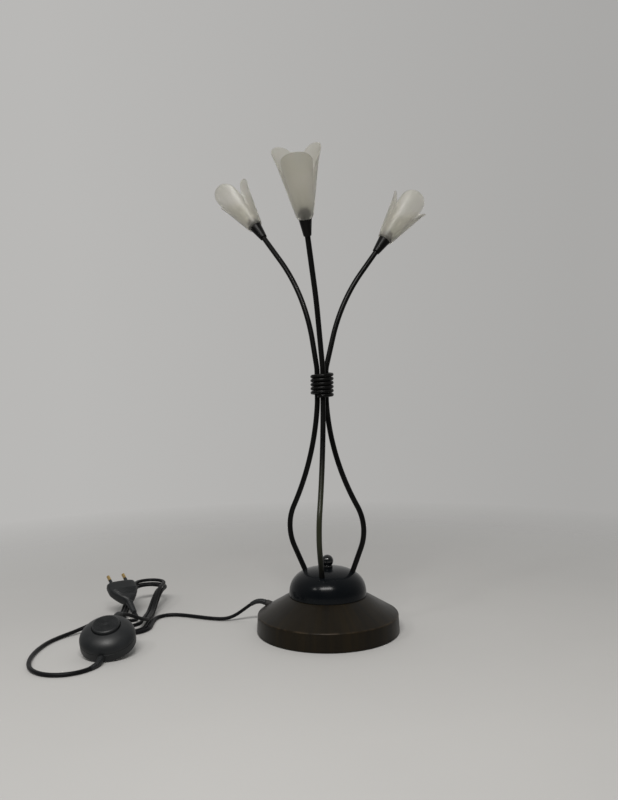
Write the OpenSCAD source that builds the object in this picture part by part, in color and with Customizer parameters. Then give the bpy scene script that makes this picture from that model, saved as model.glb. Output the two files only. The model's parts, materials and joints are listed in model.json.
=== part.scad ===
// Table lamp with three bent tube arms bound by a coiled wire. Each arm ends in a
// small cup with a low-voltage capsule bulb and a frosted three-petal glass shade.
// The arms stand in a dome on a conical steel foot, which holds a ring transformer.
// Millimetres, +Z up. The origin is where the foot's axis meets the floor.

/* [Foot] */
// Radius of the foot at the floor
base_r = 80; // [74:1:90]
// Inward lean of the rim from bottom to top
rim_lean = 1; // [0.5:0.5:3]
// Height of the rim
rim_h = 20; // [16:1:26]
// Height of the floor gap under the rim
rim_gap = 1; // [0.5:0.5:2]
// Height of the ledge that carries the dome
ledge_z = 40.3; // [39.5:0.1:46]
// Width of the ledge that shows outside the dome
ledge_w = 1; // [0.5:0.25:3]
// Wall of the pressed foot
shell_t = 1.5; // [1:0.25:2]
// Height of the felt pad under the foot
foot_h = 2.5; // [2:0.25:4]
// Height of the pad's pocket under the rod's nut
pocket_z = 1; // [0.5:0.25:1.25]
// Thickness of the bottom plate
plate_t = 2; // [1.5:0.25:3]
// Radius of the raised centre of the bottom plate
dish_r = 14; // [11:0.5:15]
// Rise of that centre
dish_rise = 4; // [4:0.5:5]

/* [Dome] */
// Radius of the dome at the ledge
dome_r = 43.4; // [41:0.5:50]
// Height of the dome
dome_h = 31; // [29:0.5:38]
// Fullness of the dome: 2 is an ellipse, more is boxier
dome_full = 2.58; // [2.3:0.02:3]
// Wall of the dome
dome_t = 1.5; // [1:0.25:2.5]
// Radius of the ball nut
ball_r = 6.7; // [5.5:0.1:9]
// Radius of the collar under the ball
collar_r = 5.9; // [5:0.1:8]
// Height of that collar
collar_h = 2.7; // [2:0.1:5]

/* [Transformer] */
// Outer radius of the ring transformer
coil_r = 38; // [34:0.5:39]
// Radius of its hole
coil_hole_r = 16; // [15.5:0.25:18]
// Height of the ring transformer
coil_h = 30; // [26:0.5:30]
// Rounding of its section
coil_edge = 4; // [2:0.5:4]
// Distance from the winding's surface to the core
coil_wrap = 6; // [4:0.5:7]
// Thickness of each rubber pad
pad_t = 1.5; // [1:0.25:2]
// Radius of the clamping disc
disc_r = 28; // [27:0.5:29]
// Thickness of the clamping disc
disc_t = 1.5; // [1:0.25:2]
// Diameter of the threaded rod
rod_d = 6; // [5:0.5:6]
// Thickness of the rod's nuts
nut_h = 5; // [4:0.25:5]
// Height of the terminal ring
ring_h = 9; // [7:0.5:9]

/* [Arms] */
// Diameter of the arm tube
tube_d = 6; // [5:0.25:6.5]
// Wall of the arm tube
tube_t = 0.8; // [0.6:0.1:1.2]
// Height of the middle of the binding
bind_z = 276.4; // [250:1:320]
// Binding's offset to the right of the foot's axis
bind_x = -3.5; // [-6:0.5:6]
// Binding's offset away from the front
bind_y = 1; // [-6:0.5:6]
// Distance from the binding's axis to each tube's axis
seat_r = 5.8; // [5.4:0.1:7]
// Straight part of each tube, up and down from the middle of the binding
seat_run = 14; // [13:0.5:20]
// Length of the short bend above the binding
kick_len = 8; // [6:0.5:14]
// Bend radius of the long flare under each cup
flare_radius = 206.6; // [150:1:260]
// Length of the first bend below the binding
lead_len = 12; // [8:1:20]
// Angle of the first bend below the binding
lead_a = 4.7; // [2:0.1:8]
// Length of the long bow below the binding
bow_len = 115.8; // [100:1:126]
// Length of the bend back in above the dome
elbow_len = 48.6; // [40:1:56]
// Length of tube inside the dome
foot_in = 12; // [9:0.5:13]
// Diameter of the wire of the binding
wire_d = 4; // [3:0.25:5]
// Rise of the binding wire for each turn
wire_pitch = 4.5; // [4.5:0.25:6]
// Turns of the binding wire
wire_turns = 5.5; // [4:0.5:6]

/* [Left arm] */
// Seat of the left tube round the binding, degrees from the front
left_seat = -109.9; // [-130:0.1:-100]
// Direction that the left arm leans to above the binding
left_up = -126.3; // [-140:0.1:-110]
// First bend of the left arm
left_kick = 10.5; // [6:0.1:20]
// Straight run of the left arm
left_run = 27; // [15:1:60]
// Flare of the left arm
left_flare = 29.7; // [15:0.1:40]
// Straight end of the left arm
left_end = 38.6; // [20:0.5:60]
// Direction that the left leg bows to
left_down = -112.9; // [-125:0.1:-100]
// Bow of the left leg
left_bow = 21.1; // [18:0.1:24]
// Bend back in of the left leg
left_elbow = 52; // [46:0.1:56]
// Turn of the left shade about its own axis
left_turn = 101; // [0:0.1:120]

/* [Front arm] */
// Seat of the front tube round the binding, degrees from the front
front_seat = 9.4; // [-5:0.1:20]
// Direction that the front arm leans to above the binding
front_up = -14.2; // [-30:0.1:5]
// First bend of the front arm
front_kick = 18.2; // [10:0.1:24]
// Straight run of the front arm
front_run = 57.5; // [30:0.5:80]
// Flare of the front arm
front_flare = 8.7; // [4:0.1:20]
// Straight end of the front arm
front_end = 56; // [30:0.5:75]
// Direction that the front leg bows to
front_down = -8.9; // [-20:0.1:5]
// Bow of the front leg
front_bow = 22.5; // [19:0.1:25]
// Bend back in of the front leg
front_elbow = 49.7; // [46:0.1:56]
// Turn of the front shade about its own axis
front_turn = 19; // [0:0.1:120]

/* [Right arm] */
// Seat of the right tube round the binding, degrees from the front
right_seat = 128.4; // [115:0.1:140]
// Direction that the right arm leans to above the binding
right_up = 116.5; // [100:0.1:130]
// First bend of the right arm
right_kick = 14.8; // [8:0.1:20]
// Straight run of the right arm
right_run = 31.6; // [15:0.2:60]
// Flare of the right arm
right_flare = 23.5; // [12:0.1:35]
// Straight end of the right arm
right_end = 31.7; // [15:0.1:55]
// Direction that the right leg bows to
right_down = 77.8; // [70:0.1:95]
// Bow of the right leg
right_bow = 24.3; // [20:0.1:26]
// Bend back in of the right leg
right_elbow = 49; // [46:0.1:56]
// Turn of the right shade about its own axis
right_turn = 5; // [0:0.1:120]

/* [Cups and bulbs] */
// Length of the cup
cup_h = 18.5; // [16:0.5:22]
// Radius of the cup at the tube
cup_low_r = 4.2; // [4.1:0.1:5]
// Radius of the cup's rim
cup_rim_r = 7; // [6.7:0.1:7.4]
// Wall of the cup
cup_t = 0.8; // [0.6:0.1:1]
// Length of tube inside the cup
tube_in = 3.5; // [2.5:0.25:4.5]
// Radius of the bulb holder
holder_r = 4.4; // [4:0.1:4.4]
// Height of the bulb holder's top above the cup's foot
holder_top = 30; // [29:0.5:33]
// Length of the holder's narrow foot
holder_neck = 5.5; // [5:0.25:7]
// Radius of the bulb
bulb_r = 4.6; // [4:0.1:5.5]
// Length of the bulb
bulb_len = 25; // [20:1:32]
// Distance between the bulb's two pins
pin_gap = 4; // [3.5:0.25:5]

/* [Shades] */
// Height of the petal tips above the cup's foot
shade_h = 86; // [80:0.5:96]
// Radius of the shade at the petal tips
shade_r = 26.8; // [25.5:0.1:30]
// Radius of the shade's straight part at the start of the flare
bell_r = 19.6; // [18.5:0.1:21]
// Radius of the shade near its floor
neck_r = 8.9; // [8.6:0.1:10]
// Length of the flared top
flare_h = 20; // [14:1:26]
// Width of one petal
petal_w = 32; // [29:0.5:34]
// Wall of the glass
glass_t = 1.8; // [1.2:0.1:2.2]
// Thickness of the glass floor that stands on the cup
floor_t = 3; // [2:0.25:4]
// Height of the ring nut that holds the shade
keeper_h = 5; // [3:0.25:5]

/* [Cord and switch] */
// Diameter of the cord
cord_d = 4.4; // [4:0.1:4.6]
// Distance of the cord's exit from the foot's rim
bush_edge = 6; // [6:0.5:8]
// Direction of the cord's exit, degrees from the front
bush_a = -112; // [-120:1:-95]
// Lean of the cord's exit from upright, degrees
bush_lean = 75; // [70:1:78]
// Diameter of the bush
bush_d = 8; // [7.5:0.25:8]
// Radius of the foot switch
switch_r = 28.5; // [26:0.5:31]
// Height of the foot switch without its button
switch_h = 25; // [22:0.5:27]
// Radius of the button
button_r = 14.2; // [12:0.2:16]
// Travel of the button
button_travel = 3; // [2:0.25:3.5]
// Width of the plug
plug_w = 35; // [33:0.5:36]
// Thickness of the plug
plug_t = 14; // [12:0.5:14]
// Length of the plug's body
plug_len = 34; // [32:0.5:36]
// Distance between the plug's pins
plug_pin_gap = 19; // [18:0.25:20]

/* [Hidden] */
$fn = 72;

// Running clearance of a rod or screw in its hole
fit = 0.1;
// Clearance between pieces that stand beside each other
gap = 0.3;
tube_r = tube_d / 2;
cord_r = cord_d / 2;

// Foot: the outer line runs up the rim, over the cone and onto the ledge
rim_top_r = base_r - rim_lean;
ledge_r = dome_r + ledge_w;
ledge_lip = 5;
hole_r = dome_r - dome_t - ledge_lip;
cone_a = atan2(ledge_z - rim_h, rim_top_r - ledge_r);
cone_drop = shell_t / cos(cone_a);
plate_top = foot_h + plate_t;
bead_w = 2.5;
bead_h = 1.5;
lean_rate = rim_lean / (rim_h - rim_gap);
plate_r = base_r - shell_t - rim_lean - gap;
foot_r = plate_r - 2;
nut_af = 1.65 * rod_d;
nut_r = nut_af / sqrt(3);

// Stack on the bottom plate
coil_z = plate_top + pad_t;
disc_z = coil_z + coil_h + pad_t;
disc_top = disc_z + disc_t;
ring_top = disc_top + ring_h;
ring_in = 9;
ring_out = 26;
screw_r = 2.2;
screw_at = 17.5;
screw_dirs = [-62, 38, 158];
lead_d = 2.6;
fine_lead_d = 1.6;
fine_lead_gap = 4;
dome_top = ledge_z + dome_h;
ball_z = dome_top + collar_h + 0.7 * ball_r;
rod_low = pocket_z + 0.5;
rod_top = ball_z + 1;

// Arms: [seat, up, kick, run, flare, end, down, bow, elbow, turn]
LEFT = [left_seat, left_up, left_kick, left_run, left_flare, left_end, left_down,
    left_bow, left_elbow, left_turn];
FRONT = [front_seat, front_up, front_kick, front_run, front_flare, front_end, front_down,
    front_bow, front_elbow, front_turn];
RIGHT = [right_seat, right_up, right_kick, right_run, right_flare, right_end, right_down,
    right_bow, right_elbow, right_turn];
ARMS = [LEFT, FRONT, RIGHT];

// A path is a list of [length, bend angle]; a point on it is [out, along, lean]
function arc_r(s) = s[0] * 180 / (PI * s[1]);
function step_on(p, s) = s[1] == 0 || s[0] == 0
    ? [p[0] + s[0] * sin(p[2]), p[1] + s[0] * cos(p[2]), p[2]]
    : [p[0] + arc_r(s) * (cos(p[2]) - cos(p[2] + s[1])),
       p[1] + arc_r(s) * (sin(p[2] + s[1]) - sin(p[2])), p[2] + s[1]];
function path_end(steps, k = 0, p = [0, 0, 0]) =
    k == len(steps) ? p : path_end(steps, k + 1, step_on(p, steps[k]));

function up_steps(a) = [[seat_run, 0], [kick_len, a[2]], [a[3], 0],
    [flare_radius * a[4] * PI / 180, a[4]], [a[5], 0]];
function down_steps(a) = [[seat_run, 0], [lead_len, lead_a], [bow_len, a[7]],
    [elbow_len, -a[8]]];
function seat_at(a) = [bind_x + seat_r * sin(a[0]), bind_y - seat_r * cos(a[0]), bind_z];

// Rings of a path, closer together in its bends
bend_step = 5;
function path_rings(steps, k = 0, p = [0, 0, 0]) = k == len(steps) ? [p]
    : let (s = steps[k], n = s[1] == 0 ? 1 : max(2, ceil(abs(s[1]) / bend_step)))
    concat([for (j = [0 : n - 1]) step_on(p, [s[0] * j / n, s[1] * j / n])],
        path_rings(steps, k + 1, step_on(p, s)));

// Last straight of a leg: where it starts, where it points, how far the dome is
function leg_point(a) = let (e = path_end(down_steps(a)))
    seat_at(a) + [e[0] * sin(a[6]), -e[0] * cos(a[6]), -e[1]];
function leg_dir(a) = let (e = path_end(down_steps(a)))
    [sin(e[2]) * sin(a[6]), -sin(e[2]) * cos(a[6]), -cos(e[2])];
function dome_side(p, t) = pow(norm([p[0], p[1]]) / (dome_r - t), dome_full)
    + pow(max(p[2] - ledge_z, 0) / (dome_h - t), dome_full);
function dome_hit(p, d, t, lo = 0, hi = 80, k = 24) = k == 0 ? lo
    : let (m = (lo + hi) / 2) dome_side(p + m * d, t) > 1
    ? dome_hit(p, d, t, m, hi, k - 1) : dome_hit(p, d, t, lo, m, k - 1);
function leg_run(a) = dome_hit(leg_point(a), leg_dir(a), 0) + foot_in;
function out_of(f) = [sin(f), -cos(f)];
function placed(a, f, p, side) = let (o = out_of(f))
    seat_at(a) + [p[0] * o[0], p[0] * o[1], side * p[1]];
function aimed(f, p, side) = let (o = out_of(f)) [sin(p[2]) * o[0], sin(p[2]) * o[1],
    side * cos(p[2])];
function whole_up(a) = path_rings(concat(up_steps(a), [[tube_in, 0]]));
function whole_down(a, run) = let (p = path_rings(concat(down_steps(a), [[run, 0]])))
    [for (i = [len(p) - 1 : -1 : 1]) p[i]];
function arm_points(a, run) = concat([for (p = whole_down(a, run)) placed(a, a[6], p, -1)],
    [for (p = whole_up(a)) placed(a, a[1], p, 1)]);
function arm_dirs(a, run) = concat([for (p = whole_down(a, run)) -aimed(a[6], p, -1)],
    [for (p = whole_up(a)) aimed(a[1], p, 1)]);
function arm_side(a) = [cos(a[1]), sin(a[1]), 0];
arm_sides = 12;
function lead_run(a) = (leg_point(a)[2] - ring_top - gap) / -leg_dir(a)[2];

// Binding wire
wire_mean_r = seat_r + tube_r + gap + wire_d / 2;
wire_start_a = -12;
wire_steps = 24;
wire_points = [for (i = [0 : wire_turns * wire_steps])
    let (t = i / wire_steps, f = wire_start_a + 360 * t)
    [bind_x + wire_mean_r * sin(f), bind_y - wire_mean_r * cos(f),
     bind_z + (t - wire_turns / 2) * wire_pitch]];
wire_sides = 6;

// Cup, holder and shade stand on one axis, measured from the cup's foot
cup_floor = 1;
holder_foot_r = 3.3;
keeper_r = 6.9;
glass_z = cup_h;
glass_floor_z = cup_h + floor_t;
glass_foot_r = cup_rim_r + 0.6;
neck_z = glass_z + 2.5;
flare_z = shade_h - flare_h;
bell_slope = (bell_r - neck_r) / (flare_z - neck_z);
flare_steps = 8;
flare_power = 2.4;
curl = shade_r - bell_r - bell_slope * flare_h;
function bell_at(s) = neck_r + bell_slope * (s - neck_z)
    + (s > flare_z ? curl * pow((s - flare_z) / flare_h, flare_power) : 0);
bell_side_t = glass_t * norm([1, bell_slope]);
pin_d = 0.7;
pin_in = 6.5;

// Cord's exit: the bush leans out through the cone
bush_r = base_r - bush_edge;
bush_z = rim_h + (rim_top_r - bush_r) * tan(cone_a);
bush_h = 3.5;
bush_in = 7;
bush_bore_r = cord_r + 0.15;
bush_out = [sin(bush_lean) * sin(bush_a), -sin(bush_lean) * cos(bush_a), cos(bush_lean)];
bush_face = [bush_r * sin(bush_a), -bush_r * cos(bush_a), bush_z] + bush_h * bush_out;
lead_z = plate_top + cord_r;
term_w = 18;
term_h = 10;
term_len = 8;
term_in = coil_r + 4;
term_out = term_in + term_len;
clamp_len = 6;
clamp_gap = 1.5;
clamp_r = term_out + clamp_gap + clamp_len / 2;
clamp_w = 20;
clamp_h = cord_d + 2;
clamp_screw_at = 6.5;
clamp_screw_r = 1.5;
clamp_head_h = 1.8;
clamp_head_r = 1.8 * clamp_screw_r;

// Bend of the lead inside, as shares of the way from the clamp up to the bush
LEAD_BEND = [[0.66, 0.88], [0.44, 0.65], [0.36, 0.39], [0.24, 0.15]];

// Points along the cord, chosen by hand, from the bush to the plug
cord_floor = 2.4;
POWER_ROUTE = [[-76.7, 31, 25], [-80.6, 32.4, 24.8], [-84.1, 33.6, 23.9],
    [-88.5, 34.9, 21.5], [-94.8, 36.2, 16.9], [-101, 37, 12.3], [-107, 37.3, 8],
    [-114.5, 37.4, 4.3], [-123, 37.8, 2.5], [-133, 39.5, 2.4], [-143.5, 43, 2.4],
    [-154.5, 47.6, 2.4], [-165.3, 52.4, 2.4], [-175.5, 56, 2.4], [-185.6, 57.7, 2.4],
    [-192.9, 56.3, 2.4], [-199, 52.1, 2.4], [-203.2, 46, 2.4]];
SWITCH_ROUTE = [[-208.2, 15.4, 9.3], [-209.2, 4.1, 12.7], [-213.7, -8.3, 18.1],
    [-221, -17, 24.3], [-225.8, -27.5, 27.9], [-227.4, -36.3, 30.9]];
PLUG_ROUTE = [[-230, -120, 2.4], [-236, -131, 2.4], [-248, -140, 2.4], [-264, -143, 2.4],
    [-280, -138, 2.4], [-293, -125, 2.4], [-301, -106, 2.4], [-305, -84, 2.4],
    [-305, -60, 2.4], [-301, -38, 2.4], [-292, -20, 2.4], [-280, -8, 4.5],
    [-267, -1, 9.5], [-254.5, 1, 12.9], [-241.6, 1.7, 13.4], [-233.9, 3.2, 12],
    [-227.5, 7.6, 9.9], [-223.1, 14, 8.2], [-221.6, 21.7, 7.4], [-222.6, 27.9, 7.9]];

// Hank: loops round a long track, inward on the floor and outward on top
hank_x = -228;
hank_y = 62;
hank_w = 25;
hank_run = 107;
hank_step = 5.8;
hank_layer = 5.6;
hank_waist = 0.1;
hank_rise = 18;
rise_from = 45;
rise_len = 60;
hank_start = 0.2;
hank_loops = 3;
hank_turn_back = 2.125;
run_rings = 4;
bend_rings = 8;
hank_sides = 6;
hank_climb = 0.25;
function smooth(u) = let (v = min(max(u, 0), 1)) v * v * (3 - 2 * v);
function hank_in(t) = hank_step * (t < hank_turn_back ? t - hank_start
    : 2 * hank_turn_back - t - hank_start);
function track(f, w) = f < 1 ? [w, hank_run * (0.5 - f)]
    : f < 2 ? [w * cos(180 * (f - 1)), -hank_run / 2 - w * sin(180 * (f - 1))]
    : f < 3 ? [-w, hank_run * (f - 2.5)]
    : [-w * cos(180 * (f - 3)), hank_run / 2 + w * sin(180 * (f - 3))];
function waist(y) = abs(y) < hank_run / 2
    ? 1 - hank_waist * (1 - pow(2 * y / hank_run, 2)) : 1;
function hank_at(t) = let (p = track(4 * (t - floor(t)), hank_w - hank_in(t)))
    [hank_x + p[0] * waist(p[1]), hank_y + p[1], cord_floor
     + hank_layer * smooth((t - hank_turn_back) / hank_climb + 0.5)
     + hank_rise * smooth((hank_y + p[1] - rise_from) / rise_len)];
hank_end = hank_start + hank_loops;
hank_times = [for (turn = [0 : hank_loops], q = [0 : 3]) let (n = q % 2 == 0
    ? run_rings : bend_rings) for (j = [0 : n - 1]) turn + (q + j / n) / 4];
hank_first = hank_at(hank_start);
hank_last = hank_at(hank_end);
end_margin = 0.02;
hank_points = concat([hank_first + [0, cord_d, 0], hank_first],
    [for (t = hank_times) if (t > hank_start + end_margin && t < hank_end - end_margin)
        hank_at(t)],
    [hank_last, hank_last - [0, cord_d, 0]]);

// Foot switch, tilted with its front edge on the floor
switch_x = -228;
switch_y = -75.6;
switch_tilt = 22;
switch_z = switch_r * sin(switch_tilt) + 0.1;
switch_low = 9;
switch_t = 2;
switch_boss_r = 4;
switch_boss_z = 6.5;
switch_face = switch_r + 2;
switch_back = [0, cos(switch_tilt), sin(switch_tilt)];
switch_up = [0, -sin(switch_tilt), cos(switch_tilt)];
switch_at = [switch_x, switch_y, switch_z] + switch_boss_z * switch_up;
switch_in = switch_at + switch_face * switch_back;
switch_out = switch_at - switch_face * switch_back;
cover_h = switch_h - switch_low;
cover_hole = button_r + gap;
function cover_z(r, t) = switch_low
    + (cover_h - t) * sqrt(1 - pow(r / (switch_r - t), 2));
button_top = cover_z(cover_hole, 0) + button_travel + 0.4;
button_crown = 1;
flange_w = 2;
flange_h = 1.5;
flange_top = cover_z(button_r + flange_w, switch_t) - gap;
button_low = flange_top - flange_h;
button_wall = 2;
stem_r = 4;
contact_r = 9;
contact_h = 7;
stem_low = switch_t + contact_h + button_travel + gap;
post_r = 3.5;
post_at = 20;
post_dirs = [45, 135, 225, 315];
post_screw_r = 1.4;
post_head_r = 2.6;
post_head_h = 1.6;

// Plug: its body starts at plug_at and points along plug_tilt and plug_dir
plug_at = [-238, 52.3, 19.5];
plug_tilt = 64.5;
plug_dir = 123.7;
relief_len = 20;
relief_tip_r = 2.9;
relief_r = 4.2;
plug_waist_w = 12;
plug_ahead = [sin(plug_tilt) * cos(plug_dir), sin(plug_tilt) * sin(plug_dir),
    cos(plug_tilt)];
plug_tip = plug_at - relief_len * plug_ahead;
pin_r = 2;
pin_root = 12;
pin_sleeve = 10;
pin_len = 19;
pin_neck_r = 1.7;

// Cord sweep: rings of n sides square to the route
cord_sides = 8;
fine_sides = 8;
function unit(v) = v / norm(v);
function way(p, i) = i == 0 ? unit(p[1] - p[0])
    : i == len(p) - 1 ? unit(p[i] - p[i - 1]) : unit(p[i + 1] - p[i - 1]);
function ring_at(p, t, r, n, up) = let (s = unit(cross(t, up)), u = cross(s, t))
    [for (k = [0 : n - 1]) p + r * (s * cos(360 * k / n) + u * sin(360 * k / n))];
function blend(a, b, c, d, t) = 0.5 * (2 * b + (c - a) * t
    + (2 * a - 5 * b + 4 * c - d) * t * t + (3 * b - a - 3 * c + d) * t * t * t);
function rounded(p, m) = [for (i = [0 : len(p) - 2], j = [0 : m - 1])
    blend(p[max(i - 1, 0)], p[i], p[i + 1], p[min(i + 2, len(p) - 1)], j / m)];

power_points = concat([bush_face], rounded(concat([bush_face + cord_r * bush_out],
    POWER_ROUTE, [hank_first + [0, 2 * cord_d, 0]]), 1),
    [hank_first + [0, 2 * cord_d, 0], hank_first + [0, cord_d, 0]]);
switch_points = concat([hank_last - [0, cord_d, 0], hank_last - [0, 2 * cord_d, 0]],
    SWITCH_ROUTE, [switch_in + 1.5 * cord_d * switch_back, switch_in]);
plug_points = concat([switch_out], rounded(concat([switch_out - 1.5 * cord_d * switch_back],
    PLUG_ROUTE, [plug_tip - cord_d * plug_ahead]), 2),
    [plug_tip - cord_d * plug_ahead, plug_tip]);

// Least gaps of the wound forms to themselves, measured on their points
function least_gap(p, skip, d) = min([for (i = [0 : len(p) - 1], j = [i + skip : 1 : len(p) - 1])
    norm(p[i] - p[j])]) - d;
function between(p) = [for (i = [0 : len(p) - 2], j = [0 : 3]) p[i] + (p[i + 1] - p[i]) * j / 4];
echo(binding_gap = least_gap(wire_points, wire_steps / 2, wire_d));
echo(hank_gap = least_gap(between(hank_points), 48, cord_d));

module sweep(p, r, n, up = [0, 0, 1], dirs = undef) {
    rings = [for (i = [0 : len(p) - 1]) each ring_at(p[i], is_undef(dirs) ? way(p, i) : dirs[i],
        r, n, up)];
    last = (len(p) - 1) * n;
    sides = [for (i = [0 : len(p) - 2], k = [0 : n - 1])
        let (a = i * n + k, b = i * n + (k + 1) % n) each [[a, a + n, b], [b, a + n, b + n]]];
    low = [for (k = [1 : n - 2]) [0, k, k + 1]];
    top = [for (k = [1 : n - 2]) [last, last + k + 1, last + k]];
    polyhedron(rings, concat(sides, low, top));
}

module ring_of(r_out, r_in, h) {
    difference() {
        cylinder(h = h, r = r_out);
        translate([0, 0, -h]) cylinder(h = 3 * h, r = r_in);
    }
}

module hex_nut(h) {
    difference() {
        cylinder(h = h, r = nut_r, $fn = 6);
        translate([0, 0, -h]) cylinder(h = 3 * h, r = rod_d / 2 + fit);
    }
}

module tube_sweep(p, dirs, r_out, r_in, n, up) {
    count = len(p);
    outer = [for (i = [0 : count - 1]) each ring_at(p[i], dirs[i], r_out, n, up)];
    inner = [for (i = [0 : count - 1]) each ring_at(p[i], dirs[i], r_in, n, up)];
    in = count * n;
    last = in - n;
    walls = [for (i = [0 : count - 2], k = [0 : n - 1])
        let (a = i * n + k, b = i * n + (k + 1) % n) each [[a, a + n, b], [b, a + n, b + n],
        [in + a, in + b, in + a + n], [in + b, in + b + n, in + a + n]]];
    ends = [for (a = [0 : n - 1]) let (b = (a + 1) % n) each [[a, b, in + a], [b, in + b, in + a],
        [last + a, in + last + a, last + b], [last + b, in + last + a, in + last + b]]];
    polyhedron(concat(outer, inner), concat(walls, ends));
}

// Places its children on an arm: above the binding, on the last straight of the
// leg, or on the cup's axis
module upward(a) {
    translate(seat_at(a)) rotate([0, 0, a[1] - 90]) children();
}

module downward(a) {
    translate(seat_at(a)) rotate([0, 0, a[6] - 90]) mirror([0, 0, 1]) children();
}

module on_leg(a) {
    e = path_end(down_steps(a));
    downward(a) translate([e[0], 0, e[1]]) rotate([0, e[2], 0]) children();
}

module on_cup(a) {
    e = path_end(up_steps(a));
    upward(a) translate([e[0], 0, e[1]]) rotate([0, e[2], 0]) rotate([0, 0, a[9]]) children();
}

module arm(a) {
    color("#1b1a18") tube_sweep(arm_points(a, leg_run(a)), arm_dirs(a, leg_run(a)), tube_r,
        tube_r - tube_t, arm_sides, arm_side(a));
}

module lead(a) {
    color("#d8d2c4") sweep(arm_points(a, lead_run(a)), lead_d / 2, fine_sides, arm_side(a),
        arm_dirs(a, lead_run(a)));
}

module cup(a) {
    low_in = cup_low_r - cup_t;
    color("#1e1c1a") on_cup(a) rotate_extrude() polygon([[tube_r + fit, 0], [cup_low_r, 0],
        [cup_rim_r, cup_h], [cup_rim_r - cup_t, cup_h], [low_in, cup_floor],
        [tube_r + fit, cup_floor]]);
}

module holder(a) {
    color("#4a4743") on_cup(a) difference() {
        union() {
            translate([0, 0, tube_in]) cylinder(h = holder_neck, r = holder_foot_r);
            translate([0, 0, tube_in + holder_neck])
                cylinder(h = holder_top - tube_in - holder_neck, r = holder_r);
        }
        for (s = [-1, 1]) translate([s * pin_gap / 2, 0, holder_top - pin_in - 1])
            cylinder(h = pin_in + 2, r = pin_d / 2 + fit);
    }
}

module bulb(a) {
    color("#e9e7df") on_cup(a) translate([0, 0, holder_top]) {
        cylinder(h = bulb_len - bulb_r, r = bulb_r);
        translate([0, 0, bulb_len - bulb_r]) sphere(r = bulb_r);
    }
}

module bulb_pins() {
    color("#b9b6ae") for (a = ARMS) on_cup(a) for (s = [-1, 1])
        translate([s * pin_gap / 2, 0, holder_top - pin_in]) cylinder(h = pin_in, r = pin_d / 2);
}

module shade_rings() {
    color("#3a3733") for (a = ARMS) on_cup(a) translate([0, 0, glass_floor_z])
        ring_of(keeper_r, holder_r + fit, keeper_h);
}

module petal_mask() {
    cylinder(h = flare_z - petal_w / 2, r = 2 * shade_r);
    for (k = [0 : 2]) rotate([90, 0, 90 + 120 * k]) linear_extrude(2 * shade_r) {
        translate([0, shade_h - petal_w / 2]) circle(petal_w / 2);
        translate([-petal_w / 2, 0]) square([petal_w, shade_h - petal_w / 2]);
    }
}

module shade(a) {
    tops = [for (k = [0 : flare_steps]) flare_z + flare_h * k / flare_steps];
    back = [for (k = [flare_steps : -1 : 0]) flare_z + flare_h * k / flare_steps];
    color("#c9c9bd") on_cup(a) intersection() {
        rotate_extrude() polygon(concat([[holder_r + gap, glass_z], [glass_foot_r, glass_z],
            [neck_r, neck_z]], [for (s = tops) [bell_at(s), s]],
            [for (s = back) [bell_at(s) - bell_side_t, s]],
            [[bell_at(glass_floor_z) - bell_side_t, glass_floor_z],
             [holder_r + gap, glass_floor_z]]));
        petal_mask();
    }
}

module foot_pad() {
    color("#141414") difference() {
        cylinder(h = foot_h, r = foot_r);
        translate([0, 0, pocket_z]) cylinder(h = foot_h, r = dish_r - plate_t / 2);
    }
}

module bottom_plate() {
    slope = 2;
    color("#6f6f6a") difference() {
        rotate_extrude() polygon([[rod_d / 2 + fit, foot_h + dish_rise],
            [dish_r - slope - plate_t / 2, foot_h + dish_rise], [dish_r - plate_t / 2, foot_h],
            [plate_r, foot_h], [plate_r, plate_top], [dish_r + plate_t / 2, plate_top],
            [dish_r - slope + plate_t / 2, plate_top + dish_rise],
            [rod_d / 2 + fit, plate_top + dish_rise]]);
        on_clamp() translate([0, 0, foot_h - plate_top - plate_t])
            cylinder(h = 3 * plate_t, r = clamp_screw_r + fit);
    }
}

module base_shell() {
    low_r = base_r - shell_t;
    bead_z = plate_top + bead_h;
    bead_side = low_r - lean_rate * (bead_z - rim_gap);
    turn_z = rim_h - cone_drop + shell_t * tan(cone_a);
    turn_r = rim_top_r - (ledge_z - shell_t - rim_h + cone_drop) / tan(cone_a);
    color("#3b342a") difference() {
        rotate_extrude() polygon([[base_r, rim_gap], [rim_top_r, rim_h], [ledge_r, ledge_z],
            [hole_r, ledge_z], [hole_r, ledge_z - shell_t], [turn_r, ledge_z - shell_t],
            [rim_top_r - shell_t, turn_z], [bead_side, bead_z], [plate_r - bead_w, bead_z],
            [plate_r - bead_w, plate_top], [low_r - lean_rate * (plate_top - rim_gap), plate_top],
            [low_r, rim_gap]]);
        on_bush() translate([0, 0, -2 * bush_in]) cylinder(h = 4 * bush_in, r = bush_d / 2 + fit);
    }
}

module dome_cover() {
    rows = 16;
    color("#191b1f") difference() {
        translate([0, 0, ledge_z]) rotate_extrude() polygon(concat(
            [for (k = [0 : rows - 1]) dome_point(90 * k / rows, 0)],
            [[rod_d / 2 + fit, dome_h], [rod_d / 2 + fit, dome_h - dome_t]],
            [for (k = [rows - 1 : -1 : 0]) dome_point(90 * k / rows, dome_t)]));
        for (a = ARMS) on_leg(a)
            translate([0, 0, dome_hit(leg_point(a), leg_dir(a), 0) - foot_in / 2])
            cylinder(h = foot_in, r = tube_r + fit);
    }
}

function dome_point(v, t) = [(dome_r - t) * pow(cos(v), 2 / dome_full),
    (dome_h - t) * pow(sin(v), 2 / dome_full)];

module tie_rod() {
    color("#9a978f") translate([0, 0, rod_low]) cylinder(h = rod_top - rod_low, r = rod_d / 2);
}

module rod_nuts() {
    color("#a8a59c") {
        translate([0, 0, foot_h + dish_rise - nut_h]) hex_nut(nut_h);
        translate([0, 0, disc_top]) hex_nut(nut_h);
    }
}

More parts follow.
